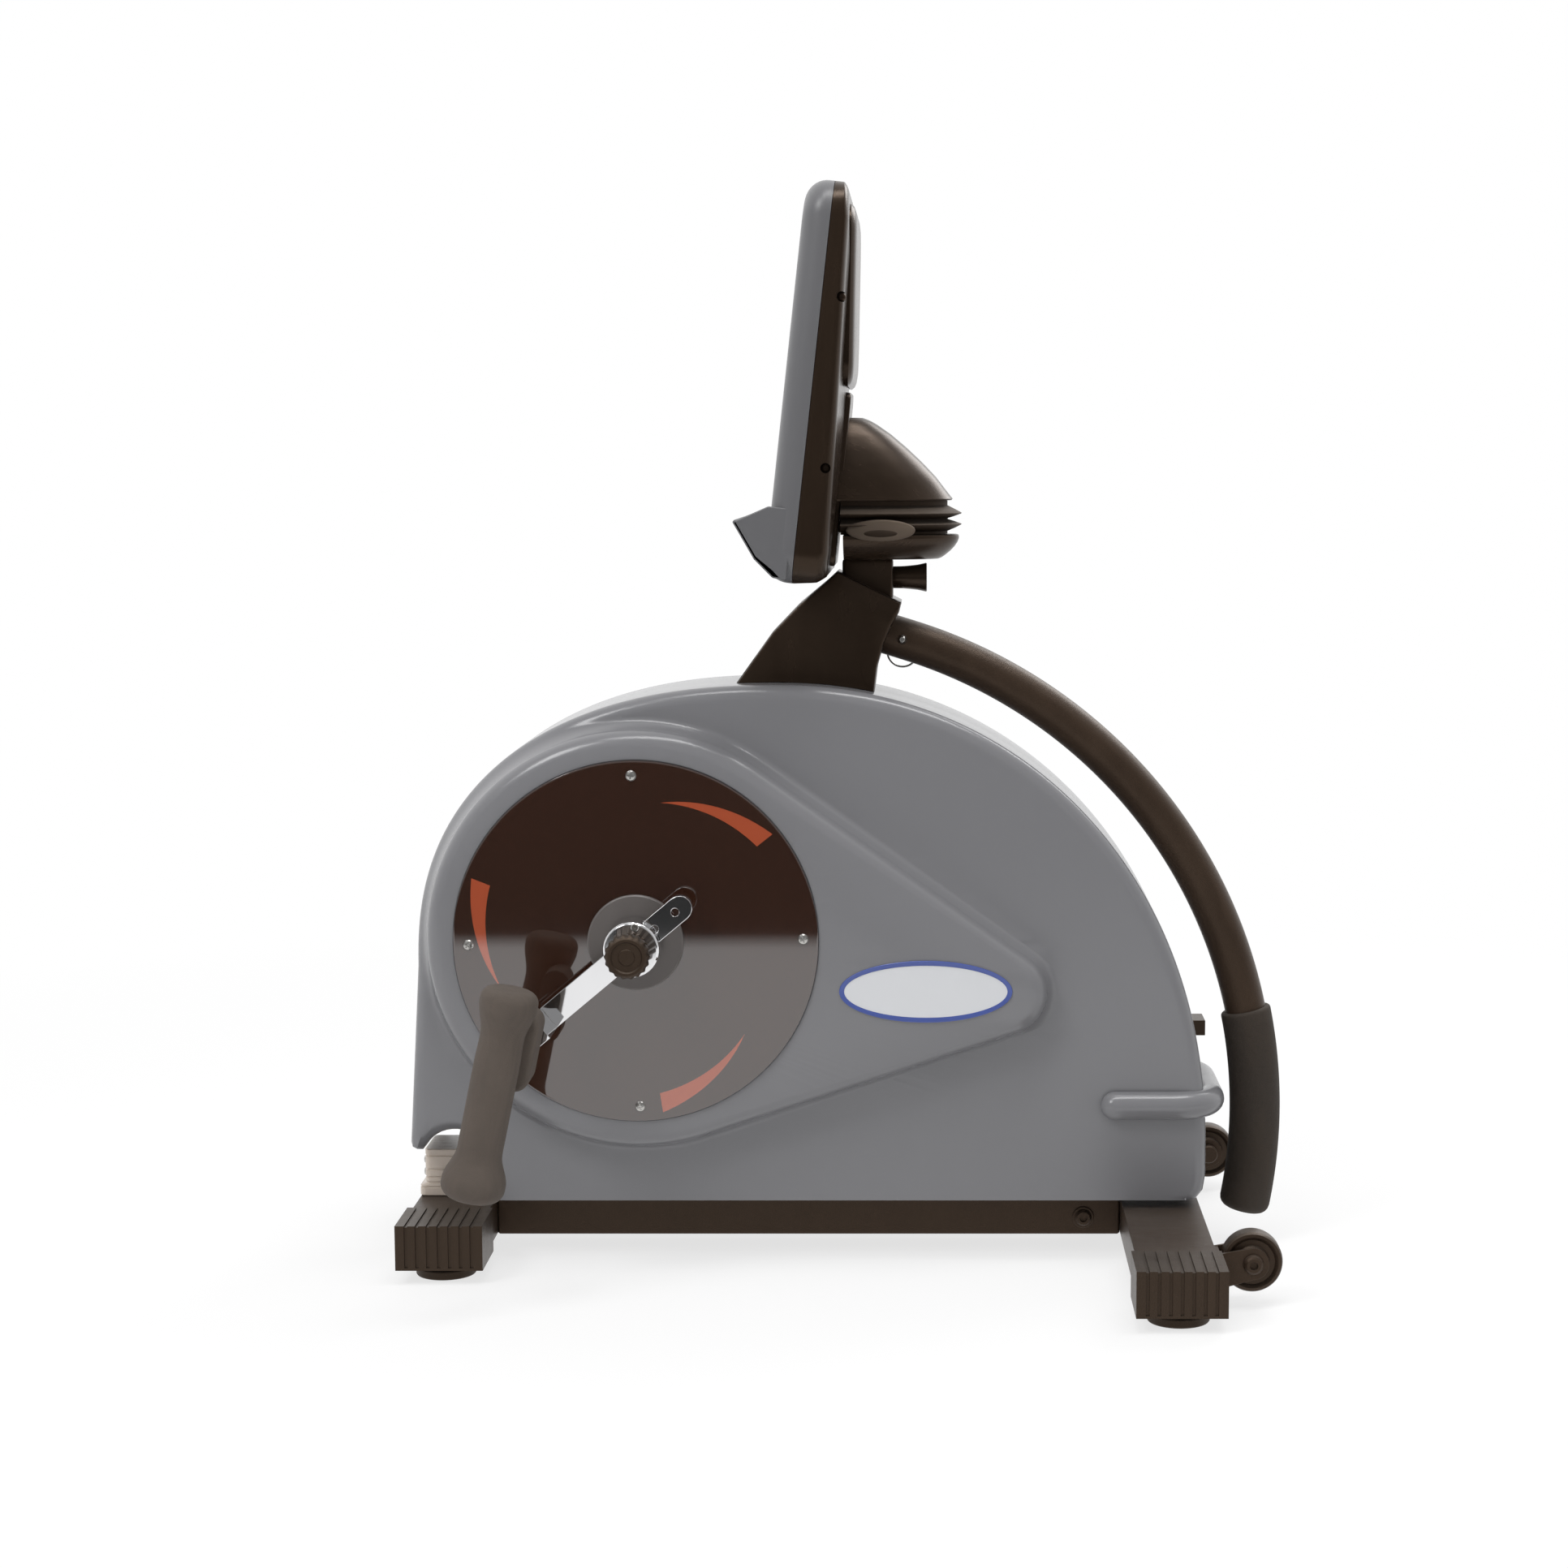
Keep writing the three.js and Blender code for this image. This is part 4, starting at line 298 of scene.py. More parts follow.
def rings(profile, sides, flutes=0, depth=0):
    """Circles for a profile's rows, which are radius and height in millimetres."""
    return [ring(r * MM, z * MM, sides, flutes, depth * MM) for r, z in profile]


def turned(name, profile, sides, limit=30):
    """A piece turned round Z from a profile in millimetres."""
    return skin(name, rings(profile, sides), limit)


def bar_rows(path, radii, sides, up):
    """Rings of a round bar that follows a path lying in the plane square to up."""
    rows = []
    for i, (at, radius) in enumerate(zip(path, radii)):
        along = path[min(i + 1, len(path) - 1)] - path[max(i - 1, 0)]
        side = along.normalized().cross(up)
        rows.append([at + (side * math.cos(t) + up * math.sin(t)) * radius for t in turns(sides)])
    return rows


def corner_points(cx, cz, radius, start, end, steps):
    angles = [math.radians(start + (end - start) * i / steps) for i in range(steps + 1)]
    return [(cx + radius * math.cos(t), cz + radius * math.sin(t)) for t in angles]


def soft_rectangle(x0, x1, z0, z1, corner, steps=8, ease=1.0):
    """The outline of a rectangle with round corners, for any inset."""

    def outline(inset):
        r = corner - ease * inset
        left, right, low, high = x0 + inset + r, x1 - inset - r, z0 + inset + r, z1 - inset - r
        points = []
        for i, centre in enumerate(((right, low), (right, high), (left, high), (left, low))):
            points += corner_points(*centre, r, 90 * i - 90, 90 * i, steps)
        return points

    return outline


def facing_x(p, depth):
    return Vector((depth, *p))


def facing_y(p, depth):
    return Vector((p[0], depth, p[1]))


def soft_rows(outline, start, end, radius, steps, lay):
    """Rings from start to end whose far edge is rounded; lay(point, depth) places a point."""
    sign = 1 if end > start else -1
    rows = [[lay(p, start) for p in outline(0)]]
    for i in range(steps + 1):
        turn = math.pi / 2 * i / steps
        depth = end - sign * radius * (1 - math.sin(turn))
        rows.append([lay(p, depth) for p in outline(radius * (1 - math.cos(turn)))])
    return rows


def rounding(off, radius):
    """How far a rounded end draws in, at a distance from it."""
    left = 1 - min(off / radius, 1)
    return radius * (1 - math.sqrt(max(1 - left * left, 0)))


def block(name, low, high, bevel, segments=2):
    """A box between two corners, with its edges bevelled."""
    deselect()
    low, high = Vector(low), Vector(high)
    bpy.ops.mesh.primitive_cube_add(size=1, location=(low + high) / 2)
    piece = named(name)
    piece.scale = high - low
    settle()
    if bevel:
        edit(piece, lambda: bpy.ops.mesh.bevel(offset=bevel, segments=segments, affect="EDGES"))
    return smooth(piece, 40)


def carve(piece, tool):
    """Cuts a tool out of a piece, and removes the tool."""
    applied(piece, "BOOLEAN", operation="DIFFERENCE", solver="MANIFOLD", object=tool)
    bpy.data.objects.remove(tool)
    return piece


def joined(name, pieces):
    select(*pieces)
    bpy.ops.object.join()
    return named(name)


def copied(name, piece, matrix):
    """A copy with its own mesh, moved to its place."""
    twin = piece.copy()
    twin.data = piece.data.copy()
    twin.name = twin.data.name = name
    bpy.context.scene.collection.objects.link(twin)
    return moved(twin, matrix)


def drilled(piece, x, z, radius, y0, y1, sides):
    """Cuts a round hole along Y."""
    deselect()
    middle_point, lie = (x, (y0 + y1) / 2, z), (math.pi / 2, 0, 0)
    bpy.ops.mesh.primitive_cylinder_add(
        vertices=sides, radius=radius, depth=abs(y1 - y0), location=middle_point, rotation=lie
    )
    settle()
    return carve(piece, bpy.context.object)


def facing(point, direction):
    """The move that stands a piece made round Z at a point, towards a direction."""
    turn = Vector(direction).to_track_quat("Z", "Y").to_matrix().to_4x4()
    return Matrix.Translation(point) @ turn


MATERIALS = {}


def dress(piece, finish_name):
    piece.data.materials.clear()
    piece.data.materials.append(MATERIALS[finish_name])


def fit_out(piece, finish_name, body, slot, *nodes):
    """Gives a piece its finish and the body it rides on, and hides the CAD nodes it stands for; the slot is
    not used.
    """
    dress(piece, finish_name)
    if body:
        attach(piece, body)
    if nodes:
        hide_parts(*nodes)
    return piece


# Finishes

WHITE = (1, 1, 1)
DUST = (0.30, 0.28, 0.25)


def fill(tree, socket, value):
    """Gives a socket a number, a colour or another node's output."""
    if isinstance(value, bpy.types.NodeSocket):
        tree.links.new(value, socket)
    else:
        socket.default_value = (*value[:3], 1) if socket.type == "RGBA" else value


def feed(tree, made, *inputs, **values):
    """Fills a node's sockets in order and by name; a name that no socket has is a setting of the node."""
    for socket, value in zip(made.inputs, inputs):
        fill(tree, socket, value)
    for key, value in values.items():
        name = key.replace("_", " ")
        if name in made.inputs:
            fill(tree, made.inputs[name], value)
        else:
            setattr(made, key, value)
    return made


def node(tree, kind, *inputs, output=0, **values):
    """Makes a node, fills its sockets, and gives one of its outputs."""
    return feed(tree, tree.nodes.new("ShaderNode" + kind), *inputs, **values).outputs[output]


def maths(tree, operation, *inputs):
    return node(tree, "Math", *inputs, operation=operation)


def mixed(tree, share, first, second):
    mix = feed(tree, tree.nodes.new("ShaderNodeMix"), data_type="RGBA", Factor=share)
    fill(tree, mix.inputs[6], first)
    fill(tree, mix.inputs[7], second)
    return mix.outputs[2]


def grain_nodes(tree, given, where):
    """A fine moulded or foamed surface: cells and a slow waviness, as a normal."""
    cells = node(tree, "TexNoise", Vector=where, Scale=given["Cell Size"], Detail=3.0)
    waves = node(tree, "TexNoise", Vector=where, Scale=given["Wave Size"], Detail=2.0)
    broad = node(tree, "Bump", Strength=given["Wave Depth"], Distance=0.01, Height=waves)
    return node(tree, "Bump", Strength=given["Cell Depth"], Distance=0.0006, Height=cells, Normal=broad)


def wear_nodes(tree, given, where):
    """Handling marks: patches and fine scratches as one mask from 0 to 1."""
    stretched = node(tree, "Mapping", Vector=where, Scale=(1, 6, 0.35))
    patches = node(tree, "TexNoise", Vector=where, Scale=given["Patch Size"], Detail=4.0)
    scratches = node(tree, "TexNoise", Vector=stretched, Scale=given["Scratch Size"], Detail=5.0)
    both = maths(tree, "MULTIPLY", patches, scratches)
    marks = node(tree, "MapRange", both, From_Min=0.16, From_Max=0.42)
    return maths(tree, "MULTIPLY", marks, given["Amount"])


def dust_nodes(tree, given, where):
    """Dust that settles on what faces up, as a mask."""
    upward = node(tree, "SeparateXYZ", node(tree, "NewGeometry", output="Normal"), output="Z")
    patches = node(tree, "TexNoise", Vector=where, Scale=given["Patch Size"], Detail=5.0)
    both = maths(tree, "MULTIPLY", node(tree, "MapRange", upward, From_Min=0.3), patches)
    return maths(tree, "MULTIPLY", both, given["Amount"])


# Each shared group's inputs with their defaults, its output and what makes its nodes
GROUPS = {
    "Surface grain": (
        {"Cell Size": 900, "Cell Depth": 0.1, "Wave Size": 14, "Wave Depth": 0.05},
        ("Normal", "NodeSocketVector"),
        grain_nodes,
    ),
    "Handling marks": (
        {"Patch Size": 9, "Scratch Size": 60, "Amount": 0.5},
        ("Mask", "NodeSocketFloat"),
        wear_nodes,
    ),
    "Settled dust": ({"Amount": 0.3, "Patch Size": 30}, ("Mask", "NodeSocketFloat"), dust_nodes),
}


def new_group(name, inputs, output, build):
    tree = bpy.data.node_groups.new(name, "ShaderNodeTree")
    for label, default in inputs.items():
        socket = tree.interface.new_socket(label, in_out="INPUT", socket_type="NodeSocketFloat")
        socket.default_value = default
    tree.interface.new_socket(output[0], in_out="OUTPUT", socket_type=output[1])
    given = tree.nodes.new("NodeGroupInput").outputs
    result = build(tree, given, node(tree, "TexCoord", output="Object"))
    feed(tree, tree.nodes.new("NodeGroupOutput"), result)


def group_node(tree, name, **values):
    return node(tree, "Group", node_tree=bpy.data.node_groups[name], **values)


def tinted(base, factor):
    return tuple(min(1, c * factor) for c in base)


def new_material(name):
    material = bpy.data.materials.new(name)
    material.use_nodes = True
    return material, material.node_tree


def finish(name, base, rough, grain, wear, dust, worn, sockets=()):
    """A material: a base colour with handling marks and dust, a roughness that varies, and a grain."""
    material, tree = new_material(name)
    marks = group_node(tree, "Handling marks", Amount=wear)
    shade = mixed(tree, marks, base, tinted(base, worn))
    if dust:
        shade = mixed(tree, group_node(tree, "Settled dust", Amount=dust), shade, DUST)
    roughness = node(tree, "MapRange", marks, To_Min=rough[0], To_Max=rough[1])
    sockets = dict(sockets, Base_Color=shade, Roughness=roughness)
    if grain:
        values = dict(zip(("Cell_Size", "Cell_Depth", "Wave_Size", "Wave_Depth"), grain))
        sockets["Normal"] = group_node(tree, "Surface grain", **values)
    feed(tree, tree.nodes["Principled BSDF"], **sockets)
    return material


# The strokes on the disc: number, turn, and radius and half width at the wide end with their change
STROKES, STROKE_TURN = 3, 0.68
STROKE_RADIUS = (0.125, -0.05)
STROKE_HALF = (0.0075, -0.022)


def mark_disc(material, mark):
    """Lays tapering strokes of colour near the disc's rim."""
    tree = material.node_tree
    surface = tree.nodes["Principled BSDF"]
    under = surface.inputs["Base Color"].links[0].from_socket
    where = node(tree, "TexCoord", output="Object")
    centred = node(tree, "Mapping", Vector=where, Location=(-CRANK.x, 0, -CRANK.z))
    x, z = (node(tree, "SeparateXYZ", centred, output=axis) for axis in "XZ")
    turn = maths(tree, "ARCTAN2", z, x)
    along = maths(tree, "FRACT", maths(tree, "MULTIPLY_ADD", turn, STROKES / (2 * math.pi), STROKE_TURN))
    radius = maths(tree, "SQRT", maths(tree, "MULTIPLY_ADD", z, z, maths(tree, "MULTIPLY", x, x)))
    stroke_radius = maths(tree, "MULTIPLY_ADD", along, STROKE_RADIUS[1], STROKE_RADIUS[0])
    stroke_half = maths(tree, "MULTIPLY_ADD", along, STROKE_HALF[1], STROKE_HALF[0])
    off = maths(tree, "ABSOLUTE", maths(tree, "SUBTRACT", radius, stroke_radius))
    inside = maths(tree, "LESS_THAN", off, stroke_half)
    feed(tree, surface, Base_Color=mixed(tree, inside, under, mark))


def finish_table(f):
    """Every finish: key, name, colour, least and most roughness, grain, wear, dust, worn tint, other sockets.

    A grain is the size and depth of its cells, then of its waves.
    """
    warm = {"Specular_Tint": (1.0, 0.74, 0.56)}
    dim = {**warm, "Specular_IOR_Level": 0.36}
    metal = {"Metallic": 1}
    coat = {"Coat_Weight": 1, "Coat_Roughness": 0.02, "Coat_IOR": 1.95}
    dark, paint, satin = f.black, f.steel_paint, tinted(f.casing, 0.64)
    glass, raw = (0.012, 0.013, 0.015), (0.3, 0.29, 0.28)
    return (
        ("casing", "Casing plastic", f.casing, (0.2, 0.25), (2600, 0.06, 7, 0.01), 0.1, 0.02, 1.06),
        ("console", "Console plastic", satin, (0.32, 0.42), (2600, 0.12, 7, 0.02), 0.25, 0.04, 1.15),
        ("black", "Black plastic", dark, (0.38, 0.55), (1800, 0.35, 20, 0.03), 0.5, 0.18, 1.9, warm),
        ("gloss_black", "Satin black plastic", dark, (0.24, 0.36), (2400, 0.1, 9, 0.03), 0.4, 0.06, 1.6, dim),
        ("steel_paint", "Powder coat", paint, (0.36, 0.48), (1400, 0.3, 30, 0.05), 0.5, 0.12, 1.7, dim),
        ("rubber", "Rubber", tinted(dark, 0.9), (0.6, 0.75), (1500, 0.3, 25, 0.05), 0.5, 0.2, 1.8, warm),
        # painted light: this oval's colour is lighter than the black, standing for light on its upward face
        ("eye", "Dull black plastic", (0.070, 0.056, 0.044), (0.5, 0.6), None, 0.2, 0, 1.1, warm),
        # painted shade: the slot's near-black colour is a flat oval standing for the shaded hole
        ("slot", "Dark slot", tinted(dark, 0.5), (0.7, 0.8), None, 0.2, 0, 1.1, warm),
        ("disc", "Disc gloss", f.disc, (0.05, 0.13), None, 0.12, 0, 1.2, coat),
        ("ring", "Satin ring", (0.100, 0.089, 0.084), (0.28, 0.4), (2400, 0.12, 10, 0.02), 0.3, 0, 1.3),
        ("chrome", "Chrome", (0.8, 0.8, 0.81), (0.04, 0.12), (60, 0.004, 12, 0.004), 0.25, 0, 0.93, metal),
        ("steel", "Zinc plate", (0.52, 0.51, 0.49), (0.24, 0.42), (500, 0.06, 20, 0.02), 0.6, 0, 0.8, metal),
        ("foam", "Grip foam", f.foam, (0.88, 0.97), (1700, 0.75, 40, 0.25), 0.7, 0.04, 1.35),
        ("dark_foam", "Arm foam", f.dark_foam, (0.8, 0.92), (1700, 0.6, 40, 0.2), 0.7, 0.05, 1.5),
        ("riser", "Pale block", f.riser, (0.25, 0.4), (900, 0.08, 15, 0.03), 0.5, 0.05, 0.85),
        ("plate", "Plate face", (0.62, 0.63, 0.65), (0.22, 0.3), (1200, 0.03, 12, 0.01), 0.2, 0, 0.95),
        ("rim", "Plate rim", f.rim, (0.2, 0.3), (1200, 0.03, 12, 0.01), 0.2, 0, 1.1),
        ("glass", "Screen cover", glass, (0.05, 0.12), None, 0.4, 0, 1.4, {"Coat_Weight": 0.5}),
        ("lcd", "Screen", (0.16, 0.19, 0.15), (0.25, 0.35), (3000, 0.05, 10, 0.01), 0.2, 0, 1.1),
        ("lcd_mark", "Screen marks", (0.02, 0.024, 0.02), (0.3, 0.4), None, 0.2, 0, 1.2),
        ("key", "Keys", (0.19, 0.185, 0.18), (0.5, 0.65), (1500, 0.25, 20, 0.03), 0.5, 0.05, 1.2),
        ("hidden_steel", "Raw steel", raw, (0.3, 0.5), (300, 0.1, 20, 0.03), 0.6, 0.05, 0.7, metal),
    )


class ERGOMETER_OT_finishes(bpy.types.Operator):
    """Makes the shared node groups and every finish"""

    bl_idname = "ergometer.finishes"
    bl_label = "Finishes"

    def execute(self, context):
        for name, values in GROUPS.items():
            new_group(name, *values)
        f = settings("finish")
        for key, *values in finish_table(f):
            MATERIALS[key] = finish(*values)
        mark_disc(MATERIALS["disc"], f.mark)
        return {"FINISHED"}


# Parts that stay as the frame gives them: finish, bevel in millimetres, and nodes, where a name
# that ends in an underscore has a near and a far node
DRESSED = (
    ("steel_paint", 1.6, "base_tube front_stabilizer rear_stabilizer"),
    ("black", 0.7, "front_cap_ rear_cap_"),
    ("steel_paint", 0.6, "mast_post"),
    ("steel_paint", 0.5, "wheel_bracket_ flywheel_bracket"),
    ("steel_paint", 0.4, "tilt_bracket"),
    ("gloss_black", 1.8, "mast_cover"),
    ("black", 0.5, "power_inlet drive_pulley"),
    ("black", 1.0, "brake_motor"),
    ("rubber", 0.3, "drive_belt"),
    ("hidden_steel", 0.5, "crank_bearing crank_shaft flywheel_axle brake_bracket"),
    ("hidden_steel", 0.8, "flywheel"),
    ("chrome", 0.5, "crank_hub_"),
    ("chrome", 0.6, "crank_arm_"),
    ("steel", 0.4, "tilt_pin"),
    ("steel", 0.3, "lock_pin"),
)


class ERGOMETER_OT_frame(bpy.types.Operator):
    """Welds, bevels and finishes the nodes whose shape is right"""

    bl_idname = "ergometer.frame"
    bl_label = "Frame"

    def execute(self, context):
        for finish_name, bevel, names in DRESSED:
            for name in names.split():
                for end in ("near", "far") if name.endswith("_") else ("",):
                    self.dress_node(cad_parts[name + end], finish_name, bevel * MM)
        return {"FINISHED"}

    def dress_node(self, piece, finish_name, bevel):
        select(piece)
        bpy.ops.mesh.customdata_custom_splitnormals_clear()
        bpy.ops.object.shade_smooth()
        modified(piece, "WELD", merge_threshold=0.02 * MM)
        modified(
            piece, "BEVEL", width=bevel, segments=2, limit_method="ANGLE",
            angle_limit=math.radians(38), harden_normals=True,
        )
        dress(piece, finish_name)


# Casing

SEAM = 0.15
CASING_CURVE = np.linspace(0, math.pi / 2, 61)
# The point that the side's rays run out from, in metres from the front stabiliser
CASING_HEART = np.array([0.030, 0.257])


def quarter_curve(centre_x, centre_z, reach, height, power, angles):
    """A quarter of an oval whose power fills its corner out."""
    x = centre_x + reach * np.cos(angles) ** (2 / power)
    z = centre_z + height * np.sin(angles) ** (2 / power)
    return list(zip(x, z))


def casing_outline():
    """The casing's side in metres from the front stabiliser: from the arch, round the rear, to the arch."""
    rear_foot = [(0.577, 0.050), (0.582, 0.056), (0.584, 0.068)]
    rear = quarter_curve(0.254, 0.090, 0.330, 0.359, 2.1, CASING_CURVE)
    front = quarter_curve(0.254, 0.233, -0.277, 0.216, 2.35, CASING_CURVE[-2::-1])
    toe = corner_points(-0.0264, 0.0933, 0.005, 180, 270, 4)
    arch = corner_points(0.003, 0.078, 0.0265, 157.1, 0, 14)
    return rear_foot + rear + front + toe + arch + [(0.0295, 0.050)]


def spaced(points, spacing):
    """Points at even spacing along a line of points, both ends kept."""
    points = np.array(points)
    reach = np.concatenate([[0], np.cumsum(np.hypot(*np.diff(points, axis=0).T))])
    wanted = np.linspace(0, reach[-1], max(2, int(reach[-1] / spacing)))
    return np.stack([np.interp(wanted, reach, points[:, k]) for k in (0, 1)], axis=1)


def line_distance(points, line):
    """The shortest distance from each point to a line of points."""
    best = np.full(len(points), np.inf)
    for a, b in zip(line[:-1], line[1:]):
        along = b - a
        size = max(float(along @ along), 1e-12)
        part = np.clip(((points - a) @ along) / size, 0, 1)
        best = np.minimum(best, np.hypot(*(points - a - part[:, None] * along).T))
    return best


def boss_depth(points, s):
    """How far inside the boss's outline each point is; negative outside."""
    first = np.array([CRANK.x - ORIGIN_X, CRANK.z])
    along = np.array([FLYWHEEL.x - ORIGIN_X - s.nose_forward, FLYWHEEL.z - s.nose_drop]) - first
    reach = float(np.hypot(*along))
    unit = along / reach
    offset = points - first
    x = offset @ unit
    z = np.abs(offset @ np.array([-unit[1], unit[0]]))
    slope = (s.boss_radius - s.nose_radius) / reach
    rise = math.sqrt(1 - slope * slope)
    k = x * rise - z * slope
    round_first = s.boss_radius - np.hypot(x, z)
    round_second = s.nose_radius - np.hypot(x - reach, z)
    straight = s.boss_radius - (x * slope + z * rise)
    return np.where(k < 0, round_first, np.where(k > reach * rise, round_second, straight))


def casing_reach(points, edge, s):
    """How far the side face stands out from the seam at each point."""
    inside = np.clip(line_distance(points, edge), 0, s.edge_round)
    main = s.half_width - s.edge_round + np.sqrt(s.edge_round**2 - (s.edge_round - inside) ** 2)
    depth = boss_depth(points, s)
    step = s.boss_reach - s.half_width
    wall = max(step - s.boss_round, 0)
    foot = np.clip((depth + s.boss_foot) / s.boss_foot, 0, 1) ** 2.4 * wall
    top = np.clip(depth, 0, s.boss_round)
    crown = np.sqrt(s.boss_round**2 - (s.boss_round - top) ** 2)
    return main + foot + np.where(depth > 0, crown * (step - wall) / s.boss_round, 0)


def closing_in(start, end, count):
    """Values from start to end that lie closer together towards the end."""
    return start + (end - start) * np.sin(np.linspace(0, math.pi / 2, count))


def ray_stations(unit, far, s):
    """Distances along a ray: across the boss, over its edge and foot, and round the outer edge."""
    tries = np.linspace(0.01, far, 400)
    crossed = np.nonzero(boss_depth(CASING_HEART + tries[:, None] * unit, s) < 0)[0]
    start = tries[crossed[0]] if len(crossed) else far
    edge_zone, foot_zone, crown_zone = 1.6 * s.edge_round, 1.1 * s.boss_foot, 1.15 * s.boss_round
    near_edge, foot_end = far - edge_zone, start + foot_zone
    if foot_end > near_edge:
        foot_end = near_edge = (start + far) / 2
    inner = max(start - crown_zone, start / 2)
    return np.concatenate([
        np.linspace(0, inner, 5)[:-1],
        closing_in(inner, start, 11),
        np.linspace(start, foot_end, 8)[1:],
        np.linspace(foot_end, near_edge, 7)[1:],
        closing_in(near_edge, far, 10)[1:],
    ])


def casing_shell(name, sign, s):
    """One half of the casing: a side laid on rays from its heart, a wall to the seam, and a thickness."""
    edge = np.array(casing_outline())
    rim = spaced(edge, s.spacing)
    floor = spaced([edge[-1], edge[0]], s.spacing * 2)[1:-1]
    rays = np.concatenate([rim, floor]) - CASING_HEART
    reach = np.hypot(*rays.T)
    units = rays / reach[:, None]
    stations = np.array([ray_stations(unit, far, s) for unit, far in zip(units, reach)])
    rows = []
    for k in range(stations.shape[1]):
        points = CASING_HEART + stations[:, k, None] * units
        out = casing_reach(points, edge, s)
        rows.append([Vector((ORIGIN_X + x, sign * y, z)) for (x, z), y in zip(points, out)])
    last = rows[-1]
    for part in (0.5, 1):
        wall = []
        for i, point in enumerate(last):
            drop = part if i < len(rim) else 0
            wall.append(Vector((point.x, point.y + (sign * SEAM * MM - point.y) * drop, point.z)))
        rows.append(wall)
    piece = edit(grid_piece(name, rows), weld, face_out)
    top = max(piece.data.polygons, key=lambda face: sign * face.center.y)
    if top.normal.y * sign < 0:
        edit(piece, bpy.ops.mesh.flip_normals)
    applied(piece, "SOLIDIFY", thickness=s.wall, offset=-1)
    seat = settings("disc").radius + 0.6 * MM
    deep, out = s.boss_reach - 1.2 * MM, s.boss_reach + 10 * MM
    return drilled(piece, CRANK.x, CRANK.z, seat, sign * deep, sign * out, 160)


def lift_handle(name, sign, s):
    """The moulded bar that runs along the side and round behind the casing."""
    front, bend_start, rear, side, bend, z = 512.7, 558.7, 588.7, 64, 30, 125.3
    path = [place(x, sign * side, z) for x in np.linspace(front, bend_start, 7)]
    for i in range(1, 13):
        turn = math.pi / 2 * (1 - i / 12)
        x = rear - bend + bend * math.cos(turn)
        path.append(place(x, sign * (side - bend + bend * math.sin(turn)), z))
    path += [place(rear, sign * y, z) for y in (22, 10, SEAM)]
    r = s.handle_radius
    # The round front end: how far each ring stands ahead, and its radius, as shares of the bar's
    tip = ((0.999, 0.0005 / r), (0.94, 0.34), (0.77, 0.64), (0.5, 0.87), (0.26, 0.966))
    radii = [r * size for _, size in tip] + [r] * len(path)
    path = [path[0] - Vector((r * ahead, 0, 0)) for ahead, _ in tip] + path
    return skin(name, bar_rows(path, radii, 28, Vector((0, 0, 1))))


class ERGOMETER_OT_casing(bpy.types.Operator):
    """Moulds the two casing shells with their boss, disc seat and lift handle"""

    bl_idname = "ergometer.casing"
    bl_label = "Casing"

    def execute(self, context):
        s = settings("casing")
        for side, sign in SIDES:
            name = "casing_shell_" + side
            shell = casing_shell(name, sign, s)
            low_y, high_y = sorted((sign * SEAM, sign * 50))
            web = block("web", place(581, low_y, 121.8), place(588.5, high_y, 128.8), 1 * MM)
            shell = joined(name, [shell, lift_handle("bar", sign, s), web])
            fit_out(smooth(shell), "casing", "frame", "casing_plastic", "casing_" + side)
        return {"FINISHED"}


# Discs, screws and plates


def screw_master(radius):
    """A pan-head screw with a cross recess, standing on Z = 0."""
    r = radius / MM
    head = [(r * 0.98, -1.2), (r, 0.1), (r * 0.8, r * 0.36), (r * 0.45, r * 0.5), (0.4, r * 0.52)]
    piece = turned("screw", head, 28, 32)
    for turn in (0, math.pi / 2):
        deselect()
        bpy.ops.mesh.primitive_cube_add(size=1, location=(0, 0, radius * 0.5), rotation=(0, 0, turn))
        tool = bpy.context.object
        tool.scale = (radius * 1.15, radius * 0.24, radius * 0.55)
        settle()
        carve(piece, tool)
    return smooth(piece, 30)


CROWN_SHARE = 0.02


def oval_rows(half_length, half_height, profile, sides=72, crown=None):
    """Ovals for a profile's rows, which are inset and height in millimetres; a crown closes them."""
    rows = []
    for inset, height in profile:
        a, b = half_length - inset * MM, half_height - inset * MM
        rows.append([Vector((a * math.cos(t), b * math.sin(t), height * MM)) for t in turns(sides)])
    if crown is not None:
        rows.append([Vector((p.x * CROWN_SHARE, p.y * CROWN_SHARE, crown * MM)) for p in rows[-1]])
    return rows


